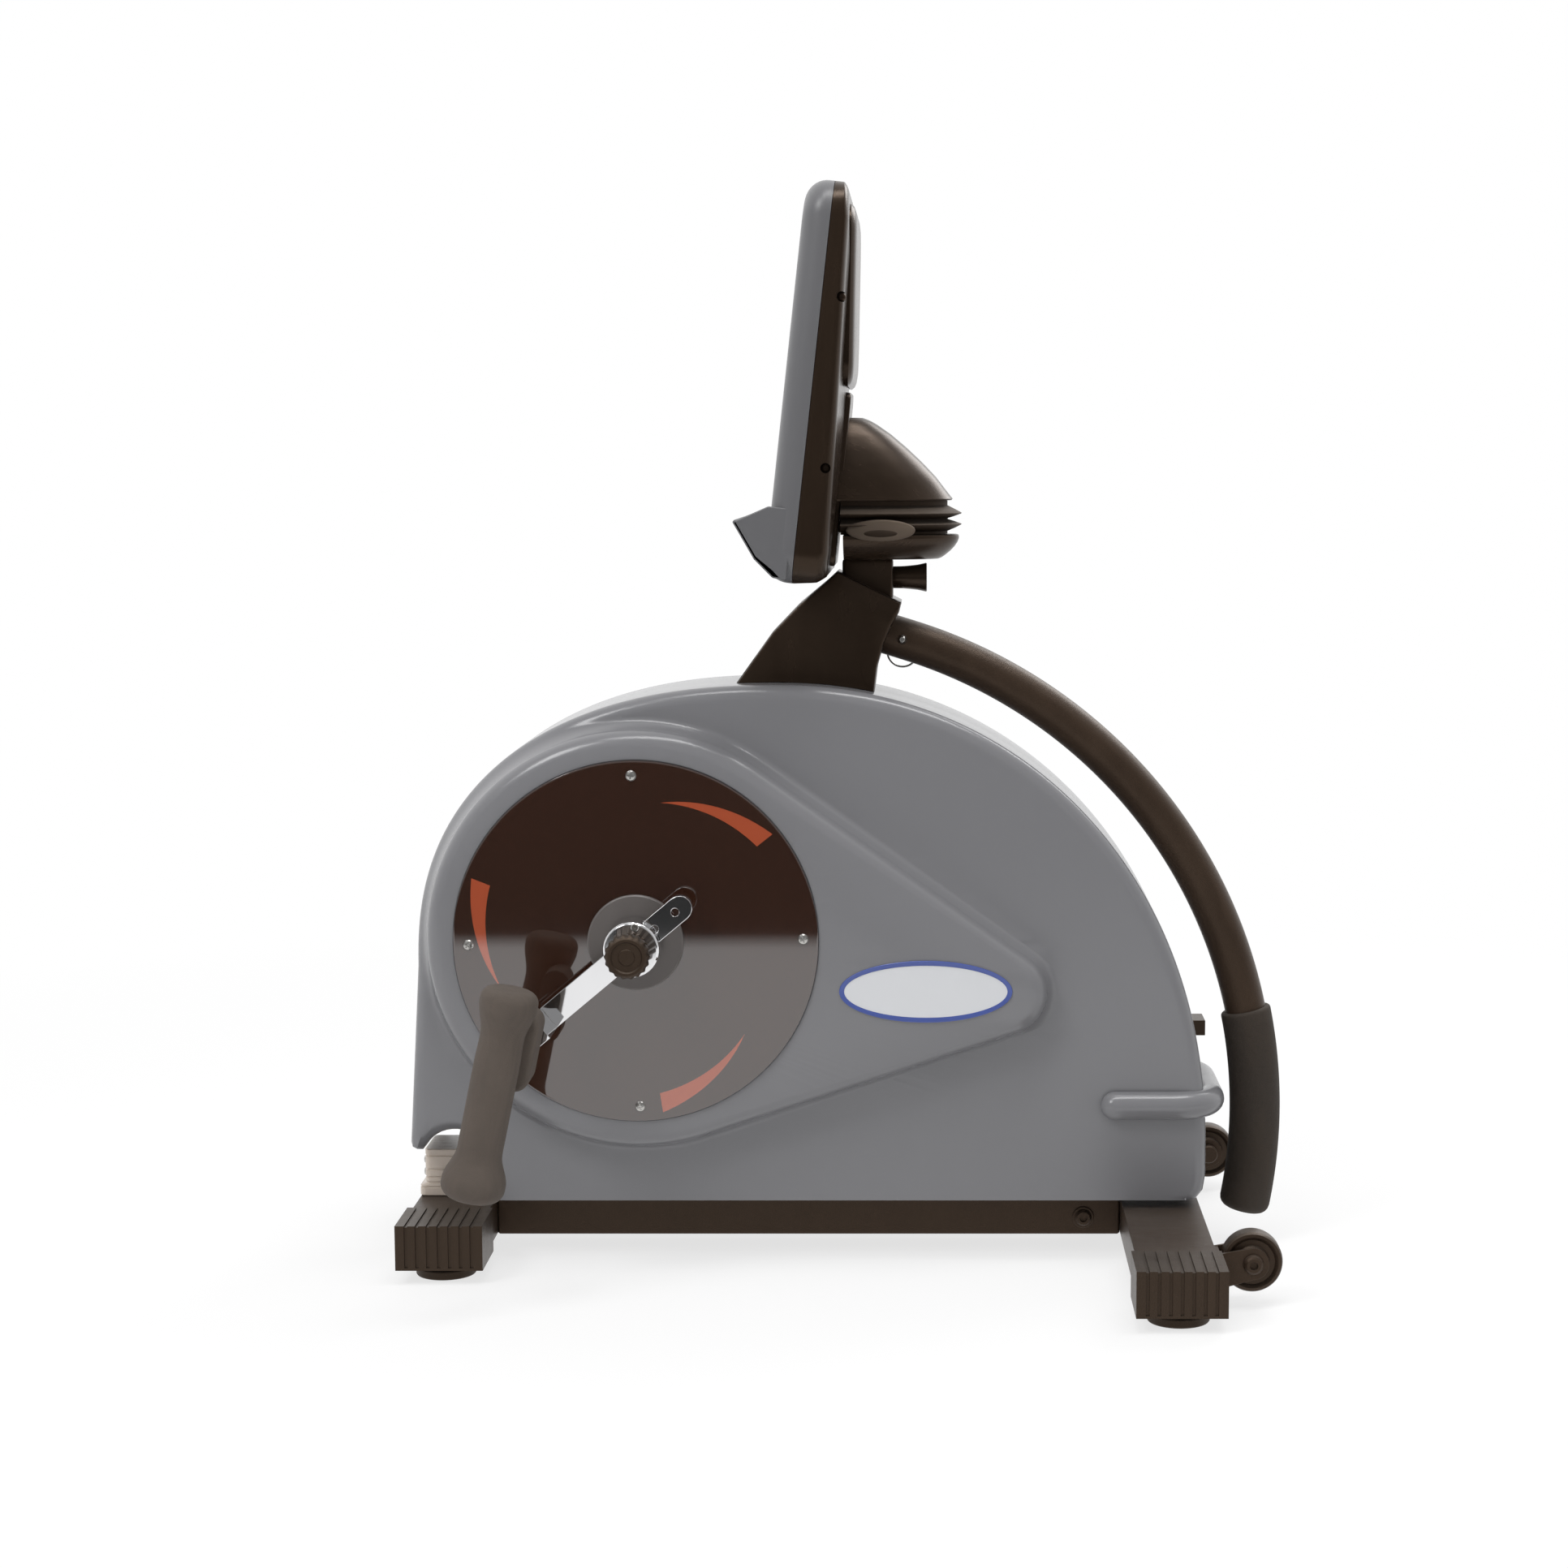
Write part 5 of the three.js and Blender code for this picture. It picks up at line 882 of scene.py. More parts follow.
class ERGOMETER_OT_disc(bpy.types.Operator):
    """Turns the cover discs with their ring, and adds their screws and the oval plates"""

    bl_idname = "ergometer.disc"
    bl_label = "Discs, screws and plates"

    def execute(self, context):
        s = settings("disc")
        screw = screw_master(s.screw_radius)
        for side, sign in SIDES:
            front = self.disc(side, sign, s)
            self.screws(side, sign, s, screw, front)
            self.plate(side, sign, s)
        bpy.data.objects.remove(screw)
        return {"FINISHED"}

    def disc(self, side, sign, s):
        """The disc and its raised ring; gives how far the disc's face stands out."""
        at = facing(CRANK_MIDDLE, (0, sign, 0))
        bore, r, ring_r = 11.5, s.radius / MM, s.ring_radius / MM
        back = min(abs(corner[1]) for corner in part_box("cover_disc_" + side)) / MM
        front = back + 3.2
        profile = [
            (bore, back), (r - 0.4, back), (r, back + 0.4), (r, front - 0.9), (r - 0.25, front - 0.3),
            (r - 0.9, front), (r - 1.4, front), (ring_r - 1, front), (bore, front), (bore, back),
        ]
        piece = moved(turned("cover_disc_plate_" + side, profile, 160), at)
        fit_out(piece, "disc", "frame", "disc_plastic", "cover_disc_" + side)
        foot, lift = front + 0.05, front + 2.6
        profile = [
            (bore, foot), (ring_r, foot), (ring_r - 0.2, lift - 0.8), (ring_r - 1.2, lift),
            (12.5, lift), (bore, lift - 0.6), (bore, foot),
        ]
        piece = moved(turned("disc_ring_" + side, profile, 96), at)
        fit_out(piece, "ring", "frame", "disc_plastic")
        return front * MM

    def screws(self, side, sign, s, screw, front):
        heads = []
        for i in range(4):
            turn = math.pi / 2 * i + math.radians(1)
            spot = CRANK_MIDDLE + s.screw_circle * Vector((math.cos(turn), 0, math.sin(turn)))
            spot.y = sign * front
            twist = Matrix.Rotation(0.4 + i, 4, "Z")
            heads.append(copied("screw", screw, facing(spot, (0, sign, 0)) @ twist))
        fit_out(joined("disc_screws_" + side, heads), "steel", "frame", "steel")

    def plate(self, side, sign, s):
        """A bare oval plate with a raised rim, on the nose of the boss."""
        reach = settings("casing").boss_reach / MM
        x, z = 367.2, 218.7
        at = facing(place(x, sign * reach, z), (0, sign, 0))
        if sign > 0:
            at = at @ Matrix.Rotation(math.pi, 4, "Z")
        rim = [(0.2, -0.4), (0, 0.2), (0, 0.8), (0.4, 1.1), (3.4, 1.1), (3.8, 0.9), (3.8, -0.4), (0.2, -0.4)]
        face = [(3.7, -0.3), (3.7, 0.7), (8, 0.8), (16, 0.9)]
        for name, profile, crown in (("rim", rim, None), ("face", face, 0.92)):
            rows = oval_rows(s.badge_length, s.badge_height, profile, crown=crown)
            piece = moved(skin("plate_%s_%s" % (name, side), rows), at)
            fit_out(piece, "rim" if name == "rim" else "plate", "frame", "casing_plastic")


# Cranks and handles


def crank_axes(sign, s):
    """The crank's own axes: X along the bar, Y out from the casing, Z across the bar."""
    along = Vector((sign * math.cos(s.turn), 0, sign * math.sin(s.turn)))
    outward = Vector((0, sign, 0))
    turn = Matrix((along, outward, along.cross(outward))).transposed().to_4x4()
    return Matrix.Translation(CRANK_MIDDLE) @ turn, along


class ERGOMETER_OT_cranks(bpy.types.Operator):
    """Makes the fluted clamp knobs and the hubs' set screws"""

    bl_idname = "ergometer.cranks"
    bl_label = "Cranks"

    def execute(self, context):
        s = settings("crank")
        r, start, end, sides, flute_depth = s.knob_radius / MM, 126.5, 156.5, 108, 1.1
        stem = [(5, 114.6), (5, start), (r - 6, start)]
        grip = [(r - 4.5, 0.6), (r - 3.6, 2.2), (r - 1.2, 16), (r, 25), (r - 0.6, 27.5)]
        grip = [(radius, start + height) for radius, height in grip]
        face = [
            (r - 2.2, end - 0.8), (r - 3.4, end), (r - 5.2, end), (r - 6.2, end - 1.2),
            (6.2, end - 1.3), (5.6, end - 0.7), (0.3, end - 0.5),
        ]
        screw = [(3.1, -2), (3.1, 0.3), (2.4, 1.1), (1.2, 1.1), (1.0, 0.4), (0.3, 0.4)]
        for side, sign in SIDES:
            at, _ = crank_axes(sign, s)
            rows = rings(stem, sides) + rings(grip, sides, s.flutes, flute_depth) + rings(face, sides)
            knob = moved(skin("clamp_knob_turned_" + side, rows, 28), at @ facing((0, 0, 0), (0, 1, 0)))
            fit_out(knob, "black", "clamp_knob_" + side, "black_plastic", "clamp_knob_" + side)
            bolt = turned("hub_set_screw_" + side, screw, 24, 32)
            along, across = -13.6 * MM, 11.2 * MM
            hub_face = max(abs(corner[1]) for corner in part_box("crank_hub_" + side))
            moved(bolt, at @ facing((along, hub_face, across), (0, 1, 0)))
            fit_out(bolt, "steel", "crank", "chrome")
        return {"FINISHED"}


def eased(part):
    part = min(max(part, 0), 1)
    return part * part * (3 - 2 * part)


def grip_rows(s):
    """The foam grip: a waist that swells towards both ends."""
    top, bottom, swell = 0.047, -0.110, 0.023
    low_swell, high_swell, hollow, hollow_size, hollow_depth = 0.013, 0.034, 0.038, 0.010, 0.0006
    low_round, high_round = 0.010, 0.0085
    steps = 56
    rows = []
    for i in range(steps + 1):
        z = bottom + (top - bottom) * (1 - math.cos(math.pi * i / steps)) / 2
        low = 1 - eased((z - bottom - low_swell) / swell)
        high = eased((z - top + high_swell) / swell)
        r = s.grip_radius + (s.grip_bottom - s.grip_radius) * low + (s.grip_top - s.grip_radius) * high
        r -= hollow_depth * math.exp(-(((z - top + hollow) / hollow_size) ** 2))
        r -= rounding(z - bottom, low_round) + rounding(top - z, high_round)
        rows.append(ring(max(r, 0.0005), z, 48))
    return rows


def housing_outline(inset):
    """The swivel housing's slot-shaped outline."""
    r = 0.011 - inset
    return corner_points(0, 0.017, r, 0, 180, 18) + corner_points(0, -0.019, r, 180, 360, 18)


class ERGOMETER_OT_handles(bpy.types.Operator):
    """Makes the foam grips and their swivel housings"""

    bl_idname = "ergometer.handles"
    bl_label = "Handles"

    def execute(self, context):
        s = settings("crank")
        inner, start, end, edge = 0.1575, 0.1590, 0.1945, 0.004
        bore, bore_start, bore_end = 0.0075, 0.150, 0.178
        grip_at = Matrix.Translation((-0.0127, 0.205, 0))
        for side, sign in SIDES:
            _, along = crank_axes(sign, s)
            lean = Matrix.Rotation(s.lean, 4, "Y") @ Matrix.Diagonal((1, sign, 1, 1))
            at = Matrix.Translation(CRANK_MIDDLE + along * s.length) @ lean
            grip = skin("grip_foam_" + side, grip_rows(s), 40)
            fit_out(moved(grip, at @ grip_at), "foam", "handle_" + side, "foam", "grip_" + side)
            rows = [[facing_y(p, inner) for p in housing_outline(edge)]]
            rows += soft_rows(housing_outline, start, end, edge, 5, facing_y)
            housing = skin("swivel_housing_" + side, rows, 40)
            drilled(housing, 0, 0, bore, bore_start, bore_end, 40)
            housing = smooth(moved(housing, at), 40)
            fit_out(housing, "foam", "handle_" + side, "foam", "handle_carrier_" + side)
        return {"FINISHED"}


# Console

# The back's depth up its height, both as shares
REAR_HEIGHTS = (0, 0.009, 0.027, 0.3, 0.42, 0.55, 0.707, 0.832, 0.983, 1)
REAR_DEPTHS = (0, 0.8, 1.0, 1.0, 0.97, 0.9, 0.78, 0.62, 0.42, 0.36)
REAR_GAP = 0.4 * MM
# Height and depth of the screws in the console's sides
SCREW_PLACES = ((0.088, 0.0162), (0.213, 0.0146))


def console_matrix():
    lean = Matrix.Rotation(settings("console").lean, 4, "Y")
    return Matrix.Translation(place(267.5, 0, 527.4)) @ lean


def console_outline(s):
    return soft_rectangle(-s.width / 2, s.width / 2, 0, s.height, s.corner, 12, 0.5)


def rear_depth_at(s, height):
    return s.rear_depth * float(np.interp(height / s.height, REAR_HEIGHTS, REAR_DEPTHS))


def cap_back(rows, s, centre, shares, lift):
    """Closes rows with smaller copies of the last one that lie on the back's curve."""
    last = rows[-1]
    for part in shares:
        row = [(p.y * part, centre + (p.z - centre) * part) for p in last]
        rows.append([Vector((rear_depth_at(s, z) + lift, y, z)) for y, z in row])
    return rows


def sheet(name, outline, y0, y1):
    """A flat piece between two widths, from an outline of depth and height in millimetres."""
    piece = skin(name, [[Vector((t * MM, y, z * MM)) for t, z in outline] for y in (y0, y1)], 20)
    applied(
        piece, "BEVEL", width=0.9 * MM, segments=3, limit_method="ANGLE", angle_limit=math.radians(20)
    )
    return smooth(piece, 30)


class ERGOMETER_OT_console(bpy.types.Operator):
    """Makes the console's shells, screen, keys and book rack"""

    bl_idname = "ergometer.console"
    bl_label = "Console"

    def execute(self, context):
        s = settings("console")
        self.at = console_matrix()
        self.front(s)
        self.rear(s)
        self.rear_screws()
        self.screen(s)
        self.keys(s)
        return {"FINISHED"}

    def finished(self, piece, finish_name, body, slot, *nodes):
        fit_out(moved(piece, self.at), finish_name, body, slot, *nodes)

    def front(self, s):
        """The front shell with the book rack and its two ends."""
        rows = soft_rows(console_outline(s), 0.0, -s.front_depth, s.front_round, 10, facing_x)
        pieces = [skin("shell", rows, 30)]
        half, end_thickness = 0.1092, 0.003
        lip = [(-6, 3), (-14, 3.6), (-29, 15.7), (-47.7, 41.2), (-46.2, 43.4), (-44.5, 42)]
        lip += [(-27, 18.5), (-14, 10)]
        end = [(-4, 3.2), (-14, 3.8), (-29, 15.9), (-47.5, 41.2), (-22.5, 55.6), (-4, 55.6)]
        pieces.append(sheet("rack", lip, -half, half))
        for sign in (-1, 1):
            pieces.append(sheet("end", end, *sorted((sign * half, sign * (half - end_thickness)))))
        piece = joined("console_front_shell", pieces)
        self.finished(piece, "console", "console", "casing_plastic", "console_front")

    def rear(self, s):
        """The rear shell with its raised panel."""

        def lay(p, depth):
            return Vector((REAR_GAP + depth / s.rear_depth * rear_depth_at(s, p[1]), *p))

        rows = soft_rows(console_outline(s), 0.0, s.rear_depth, 0.009, 8, lay)
        piece = skin("shell", cap_back(rows, s, s.height / 2, (0.75, 0.5, 0.25, 0.02), REAR_GAP), 30)
        for height, depth in SCREW_PLACES:
            for sign in (-1, 1):
                drilled(piece, depth, height, 0.0038, sign * 0.1, sign * 0.12, 32)
        low, high = 0.150, 0.284
        outline = soft_rectangle(-0.078, 0.078, low, high, 0.020)
        rows = []
        for inset, lift in ((0, -4), (0, 1.6), (2, 3.6), (5, 4.8), (11, 5.5)):
            points = outline(inset * MM)
            rows.append([Vector((rear_depth_at(s, z) + lift * MM, y, z)) for y, z in points])
        panel = skin("panel", cap_back(rows, s, (low + high) / 2, (0.7, 0.4, 0.02), 5.8 * MM), 30)
        piece = smooth(joined("console_rear_shell", [piece, panel]), 30)
        self.finished(piece, "gloss_black", "console", "gloss_black", "console_rear")

    def rear_screws(self):
        screws = []
        master = screw_master(0.0031)
        for height, depth in SCREW_PLACES:
            for sign in (-1, 1):
                spot = facing((depth, sign * 0.1022, height), (0, sign, 0))
                screws.append(copied("screw", master, self.at @ spot))
        bpy.data.objects.remove(master)
        fit_out(joined("console_screws", screws), "steel_paint", "console", "steel")

    def screen(self, s):
        """The cover, the screen under it and plain marks on the screen."""
        front, centre = -s.front_depth, 0.208
        for name, half_width, half_height, corner, profile, finish_name, nodes in (
            ("screen_cover", 78, 48, 8, ((0, -1), (0, 0.3), (0.6, 0.7)), "glass", ("console_lens",)),
            ("screen_panel", 62, 33, 3, ((0, 0.4), (0, 0.85), (0.4, 0.9)), "lcd", ()),
        ):
            across, up = half_width * MM, half_height * MM
            outline = soft_rectangle(-across, across, centre - up, centre + up, corner * MM, ease=0)
            rows = [[facing_x(p, front - lift * MM) for p in outline(inset * MM)] for inset, lift in profile]
            self.finished(skin(name, rows, 30), finish_name, "console", "lens", *nodes)
        marks = []
        for i in range(14):
            high = 6 + 16 * abs(math.sin(i * 0.55 + 0.3))
            marks.append((-52 + i * 8, 2.6, 181, high))
        for row in range(2):
            marks += [(-45 + i * 30, 10, 214 + row * 13, 1.6) for i in range(4)]
        bars = []
        for y, half, z, high in marks:
            low_corner = (front - 1.1 * MM, (y - half) * MM, z * MM)
            high_corner = (front - 0.8 * MM, (y + half) * MM, (z + high) * MM)
            bars.append(block("bar", low_corner, high_corner, 0))
        self.finished(joined("screen_marks", bars), "lcd_mark", "console", "lens")

    def keys(self, s):
        pitch, half, low, high, corner, edge = 0.038, 0.012, 0.106, 0.118, 0.004, 0.0012
        front, depth = -s.front_depth - 0.0016, 0.006
        for i in (1, 2, 3):
            y = (i - 2) * pitch
            outline = soft_rectangle(y - half, y + half, low, high, corner)
            rows = soft_rows(outline, front + depth, front, edge, 4, facing_x)
            key = skin("console_key_cap_%d" % i, rows, 30)
            self.finished(key, "key", "key_%d" % i, "foam", "console_key_%d" % i)


# Tilt joint

# The hood's reach up its height, both as shares
HOOD_LEVELS = (0, 0.033, 0.14, 0.281, 0.45, 0.638, 0.80, 0.92, 0.97, 1)
HOOD_SHARES = (1.0, 0.99, 0.93, 0.851, 0.735, 0.59, 0.45, 0.325, 0.26, 0.2)
# The bellows' folds: share of the height, and how far they tuck in
FOLDS = (
    (0.0, 1.0), (0.08, 1.0), (0.18, 0.45), (0.275, 0.03), (0.29, 0.0), (0.305, 0.03), (0.38, 0.5),
    (0.44, 0.96), (0.455, 1.0), (0.47, 0.96), (0.53, 0.5), (0.61, 0.03), (0.625, 0.0), (0.64, 0.03),
    (0.74, 0.45), (0.86, 1.0), (1.0, 1.0),
)
# The cup's bowl: share of the height, and inset in millimetres
BOWL = (
    (0.0, 16), (0.05, 13.5), (0.16, 10.5), (0.32, 6.8), (0.5, 3.5), (0.68, 1.2), (0.82, 0.2),
    (0.9, 0.0), (0.97, 0.4), (1.0, 1.4),
)


def pointed_row(front, rear, half_width, z, steps=56, point=0.14):
    """Half an oval behind the console, drawn out to a soft point at the rear, closed along its front."""
    row = []
    for i in range(steps + 1):
        turn = -math.pi / 2 + math.pi * i / steps
        reach = math.cos(turn) ** (1 + point)
        row.append(Vector((front + (rear - front) * reach, half_width * math.sin(turn), z)))
    for i in range(1, 12):
        row.append(Vector((front, half_width * (1 - 2 * i / 12), z)))
    return row


def pointed_piece(name, cad_node, front, rear, levels, narrowing):
    """A piece of pointed rows over a node's height; front, rear and insets are in millimetres."""
    low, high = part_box(cad_node)
    rows = []
    for level, inset in levels:
        z = low[2] + (high[2] - low[2]) * level
        half = (52 - inset * narrowing) * MM
        rows.append(pointed_row(place(front, 0, 0).x, place(rear - inset, 0, 0).x, half, z))
    return skin(name, rows, 40)


class ERGOMETER_OT_tilt_joint(bpy.types.Operator):
    """Makes the hood, the bellows, the cup and the tilt knob"""

    bl_idname = "ergometer.tilt_joint"
    bl_label = "Tilt joint"

    def execute(self, context):
        self.hood()
        self.bellows()
        piece = pointed_piece("bellows_cup_bowl", "bellows_cup", 304.5, 393, BOWL, 1.3)
        fit_out(piece, "gloss_black", "frame", "gloss_black", "bellows_cup")
        self.neck()
        self.eyes()
        self.knob()
        return {"FINISHED"}

    def hood(self):
        """The dome over the bellows and the flange that holds it to the console's back."""
        s = settings("console")
        base, top, reach, half_width, tuck = 0.588, 0.651, 0.0865, 0.048, 0.002
        foot = ORIGIN_X + 0.3015
        rows = []
        for inset, lift in ((0.0008, 0), (0, 0.0012)):
            rear = foot + reach - inset
            rows.append(pointed_row(foot - tuck, rear, half_width - inset, base + lift, 40, 0.1))
        for i in range(1, 23):
            level = math.sin(math.pi / 2 * i / 22)
            part = float(np.interp(level, HOOD_LEVELS, HOOD_SHARES))
            z = base + (top - base) * level
            front = foot + (z - base) * math.tan(s.lean) - tuck
            rear = max(foot + reach * part, front + 0.001)
            rows.append(pointed_row(front, rear, half_width * part**0.8, z, 40, 0.1))
        dome = skin("dome", rows, 40)

        def lay(p, depth):
            on_back = depth > 0.02
            return Vector((depth + (rear_depth_at(s, p[1]) - s.rear_depth if on_back else 0), *p))

        outline = soft_rectangle(-0.040, 0.040, 0.014, 0.146, 0.008, 6)
        rows = soft_rows(outline, 0.016, s.rear_depth + REAR_GAP + 0.0034, 0.0012, 3, lay)
        flange = moved(skin("flange", rows, 30), console_matrix())
        piece = smooth(joined("tilt_hood_dome", [dome, flange]), 35)
        fit_out(piece, "gloss_black", "console", "gloss_black", "tilt_hood")

    def bellows(self):
        """The folds, which stand between the cup on the frame and the hood on the console; they ride on no
        body.
        """
        levels = [(level, 11 * tuck) for level, tuck in FOLDS]
        piece = pointed_piece("bellows_folds", "bellows", 302.5, 395, levels, 1)
        fit_out(piece, "rubber", None, "belt_rubber", "bellows")
        x = middle("tilt_pin").x
        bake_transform(piece)

    def neck(self):
        """The short dark neck between the cup and the mast cover, which the tilt knob stands out of."""
        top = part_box("bellows_cup")[0][2] / MM + 0.5
        piece = block("tilt_neck", place(303, -17, 511), place(342, 17, top), 3 * MM, 3)
        fit_out(piece, "gloss_black", "frame", "gloss_black")

    def eyes(self):
        """The flat oval eyes on both sides between the bellows and the cup: each oval is coloured lighter
        than the cup as painted light on its upward face, and carries a near-black oval as painted shade for
        the hole in it.
        """
        for side, sign in SIDES:
            at = facing(place(333, sign * 50.4, 566.0), (0, sign * 0.95, 0.31))
            for name, half_length, half_height, drop, lift, finish_name in (
                # the lighter oval's colour is painted light on its upward face
                ("cup_eye_", 26.2, 8.4, 0, 0, "eye"),
                # the slot is painted shade: a near-black oval laid on for the shaded hole
                ("cup_slot_", 13.0, 3.1, 3.04, 1.3, "slot"),
            ):
                profile = [(0.2, lift - 1.2), (0, lift + 0.2), (0.5, lift + 0.7), (1.6, lift + 0.9)]
                rows = oval_rows(half_length * MM, half_height * MM, profile, 64, lift + 0.9)
                down = Matrix.Translation((0, 0, -drop * MM))
                fit_out(moved(skin(name + side, rows, 40), down @ at), finish_name, "frame", "gloss_black")

    def knob(self):
        start = 337
        reach = (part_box("tilt_knob")[1][0] - ORIGIN_X) / MM - start
        profile = [
            (4, -15), (4, 0), (8, 0.1), (8.4, 0.8), (8.6, 12), (9.1, 18), (9.8, 24), (10.8, 28.5),
            (11.2, reach - 0.8), (10.8, reach), (8.8, reach), (6, reach - 2.2), (0.3, reach - 3),
        ]
        height = middle("tilt_knob").z / MM
        piece = moved(turned("tilt_knob_turned", profile, 48), facing(place(start, 0, height), (1, 0, 0)))
        fit_out(piece, "gloss_black", "tilt_knob", "gloss_black", "tilt_knob")


# Support arm

ARC_CENTRE = place(238.5, 0, 108.03)
ARC_RADIUS = 0.3892
ARC_START = math.radians(72.774)
ARC_END = math.asin((0.041 - ARC_CENTRE.z) / ARC_RADIUS)
FOAM_START = math.radians(12)
FOAM_STOP_SHORT = 0.014


def arc(first, last):
    """Points along the arm's one wide arc."""
    return [
        ARC_CENTRE + ARC_RADIUS * Vector((math.cos(t), 0, math.sin(t))) for t in np.linspace(first, last, 91)
    ]


class ERGOMETER_OT_support_arm(bpy.types.Operator):
    """Makes the curved support arm, its foam sleeve and the lock pin's ring"""

    bl_idname = "ergometer.support_arm"
    bl_label = "Support arm"

    def execute(self, context):
        s = settings("arm")
        path = arc(ARC_START, ARC_END)
        way = Vector((math.sin(ARC_START), 0, -math.cos(ARC_START)))
        path = [path[0] - way * back for back in (0.024, 0.018, 0.012, 0.006)] + path
        tube = skin("support_arm_tube", bar_rows(path, [s.radius] * len(path), 40, Vector((0, 1, 0))), 40)
        fit_out(tube, "steel_paint", "frame", "black_steel", "support_arm")
        self.sleeve(s)
        self.pin_ring()
        return {"FINISHED"}

    def sleeve(self, s):
        """The foam sleeve, with rings drawn together at its rounded ends."""
        path = arc(FOAM_START, ARC_END - FOAM_STOP_SHORT / ARC_RADIUS)
        reach = np.concatenate([[0], np.cumsum([(b - a).length for a, b in zip(path, path[1:])])])
        total = reach[-1]
        ends = [0, 0.0004, 0.0012, 0.0025]
        far_ends = [total - off for off in (0.005, 0.0028, 0.0012, 0.0003, 0)]
        fine, sizes = [], []
        for d in (*ends, *np.linspace(0.006, total - 0.008, 44), *far_ends):
            fine.append(Vector([np.interp(d, reach, [p[axis] for p in path]) for axis in range(3)]))
            soft = 0.0025 if d < total / 2 else 0.008
            sizes.append(s.radius + s.foam - rounding(min(d, total - d), soft))
        foam = skin("arm_grip_foam", bar_rows(fine, sizes, 40, Vector((0, 1, 0))), 40)
        fit_out(foam, "dark_foam", "frame", "foam", "arm_grip")

    def pin_ring(self):
        deselect()
        bpy.ops.mesh.primitive_torus_add(
            major_segments=72, minor_segments=12, major_radius=12 * MM, minor_radius=0.8 * MM,
            rotation=(math.pi / 2, 0, 0),
        )
        loop = named("pin_ring_wire")
        settle()
        moved(loop, Matrix.Translation(middle("pin_ring")))
        fit_out(smooth(loop, 60), "steel", "pin_ring", "steel", "pin_ring")


# Feet, wheels and bolts

WHEEL_HALF = [
    (4.3, -9), (10.8, -9), (11.6, -8.4), (12.6, -6.8), (16.6, -6.6), (17.8, -8.2), (19.2, -9),
    (21.2, -8.4), (22.2, -6.8), (22.5, -5),
]
FORK = 13.3
WHEEL_BOLT = [
    (0.4, -FORK - 6), (6.6, -FORK - 6), (7.5, -FORK - 5.2), (7.5, -FORK), (4, -FORK), (4, FORK),
    (7.5, FORK), (7.4, FORK + 1.6), (6.6, FORK + 3.4), (5.2, FORK + 4.4), (3.1, FORK + 4.5),
    (3.0, FORK + 2.0), (0.3, FORK + 1.8),
]
FRAME_BOLT = [
    (8.3, -0.4), (8.5, 0), (8.5, 1.0), (8.0, 1.4), (6.6, 1.4), (6.4, 3.0), (5.0, 4.6), (3.0, 4.7),
    (3.0, 2.6), (0.3, 2.5),
]
RISER_FRONT = -26.5


class ERGOMETER_OT_running_gear(bpy.types.Operator):
    """Makes the levelling feet, the transport wheels and their bolts"""

    bl_idname = "ergometer.running_gear"
    bl_label = "Feet, wheels and bolts"

    def execute(self, context):
        for side, sign in SIDES:
            for end in ("front", "rear"):
                self.foot("%s_foot_%s" % (end, side))
            self.wheel(side, sign)
        x, y, z = 491, 25, 27
        spots = [(place(x, sign * y, z), (0, sign, 0)) for _, sign in SIDES]
        self.bolts("frame_bolts", FRAME_BOLT, 40, 30, spots, "steel_paint")
        self.riser()
        screw = [(3.4, -0.4), (3.4, 0.8), (2.6, 1.8), (1.2, 2.2), (0.3, 2.2)]
        spots = [(place(RISER_FRONT, y, z), (-1, 0, 0)) for y in (-12, 12) for z in (60.9, 70.6)]
        self.bolts("riser_screws", screw, 24, 40, spots, "steel")
        return {"FINISHED"}

    def bolts(self, name, profile, sides, limit, spots, finish_name):
        pieces = [moved(turned("bolt", profile, sides, limit), facing(*spot)) for spot in spots]
        fit_out(joined(name, pieces), finish_name, "frame", "steel")

    def foot(self, name):
        centre, top = middle(name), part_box(name)[1][2] / MM
        profile = [
            (0.3, 0), (20.5, 0), (22.2, 0.4), (22.9, 1.4), (23, 6.2), (22.4, 7), (19, 7.6), (11, 10.2),
            (9, 10.8), (5, 10.9), (5, top - 0.5), (4.5, top),
        ]
        piece = moved(turned(name + "_pad", profile, 64), Matrix.Translation((centre.x, centre.y, 0)))
        fit_out(piece, "rubber", name, "foot_rubber", name)

    def wheel(self, side, sign):
        name, bolt = "wheel_" + side, "wheel_bolt_" + side
        at = facing(middle(name), (0, sign, 0))
        profile = WHEEL_HALF + [(r, -z) for r, z in reversed(WHEEL_HALF)] + WHEEL_HALF[:1]
        fit_out(moved(turned(name + "_tyre", profile, 96), at), "black", name, "black_plastic", name)
        fit_out(moved(turned(bolt + "_head", WHEEL_BOLT, 48), at), "steel_paint", "frame", "steel", bolt)

    def riser(self):
        """The pale block: shallow grooves at uneven heights over a foot that stands forward."""
        low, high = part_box("front_riser")
        front, foot_top = place(RISER_FRONT, 0, 0).x, 0.0532
        half = (high[1] - low[1]) / 2
        edge, groove_depth = 0.7 * MM, 0.9 * MM
        levels = [(low[2], edge), (low[2] + edge, 0)]
        for groove in (51.0, 54.7, 58.9, 65.1, 76.0):
            for off, inset in ((-0.8, 0), (-0.3, groove_depth), (0.3, groove_depth), (0.8, 0)):
                levels.append(((groove + off) * MM, inset))
        levels += [(high[2] - edge, 0), (high[2], edge)]
        rows = []
        for z, inset in levels:
            outline = soft_rectangle(low[0] if z < foot_top else front, high[0], -half, half, 0.005)
            rows.append([Vector((x, y, z)) for x, y in outline(inset)])
        fit_out(skin("front_riser_block", rows, 30), "riser", "frame", "riser", "front_riser")


# Studio

SENSOR_WIDTH = 36
CAMERA_X = 366.8
CAMERA_SHIFT = -0.0901
CAMERA_SIGHT = 60
FLOOR_RADIUS = 14
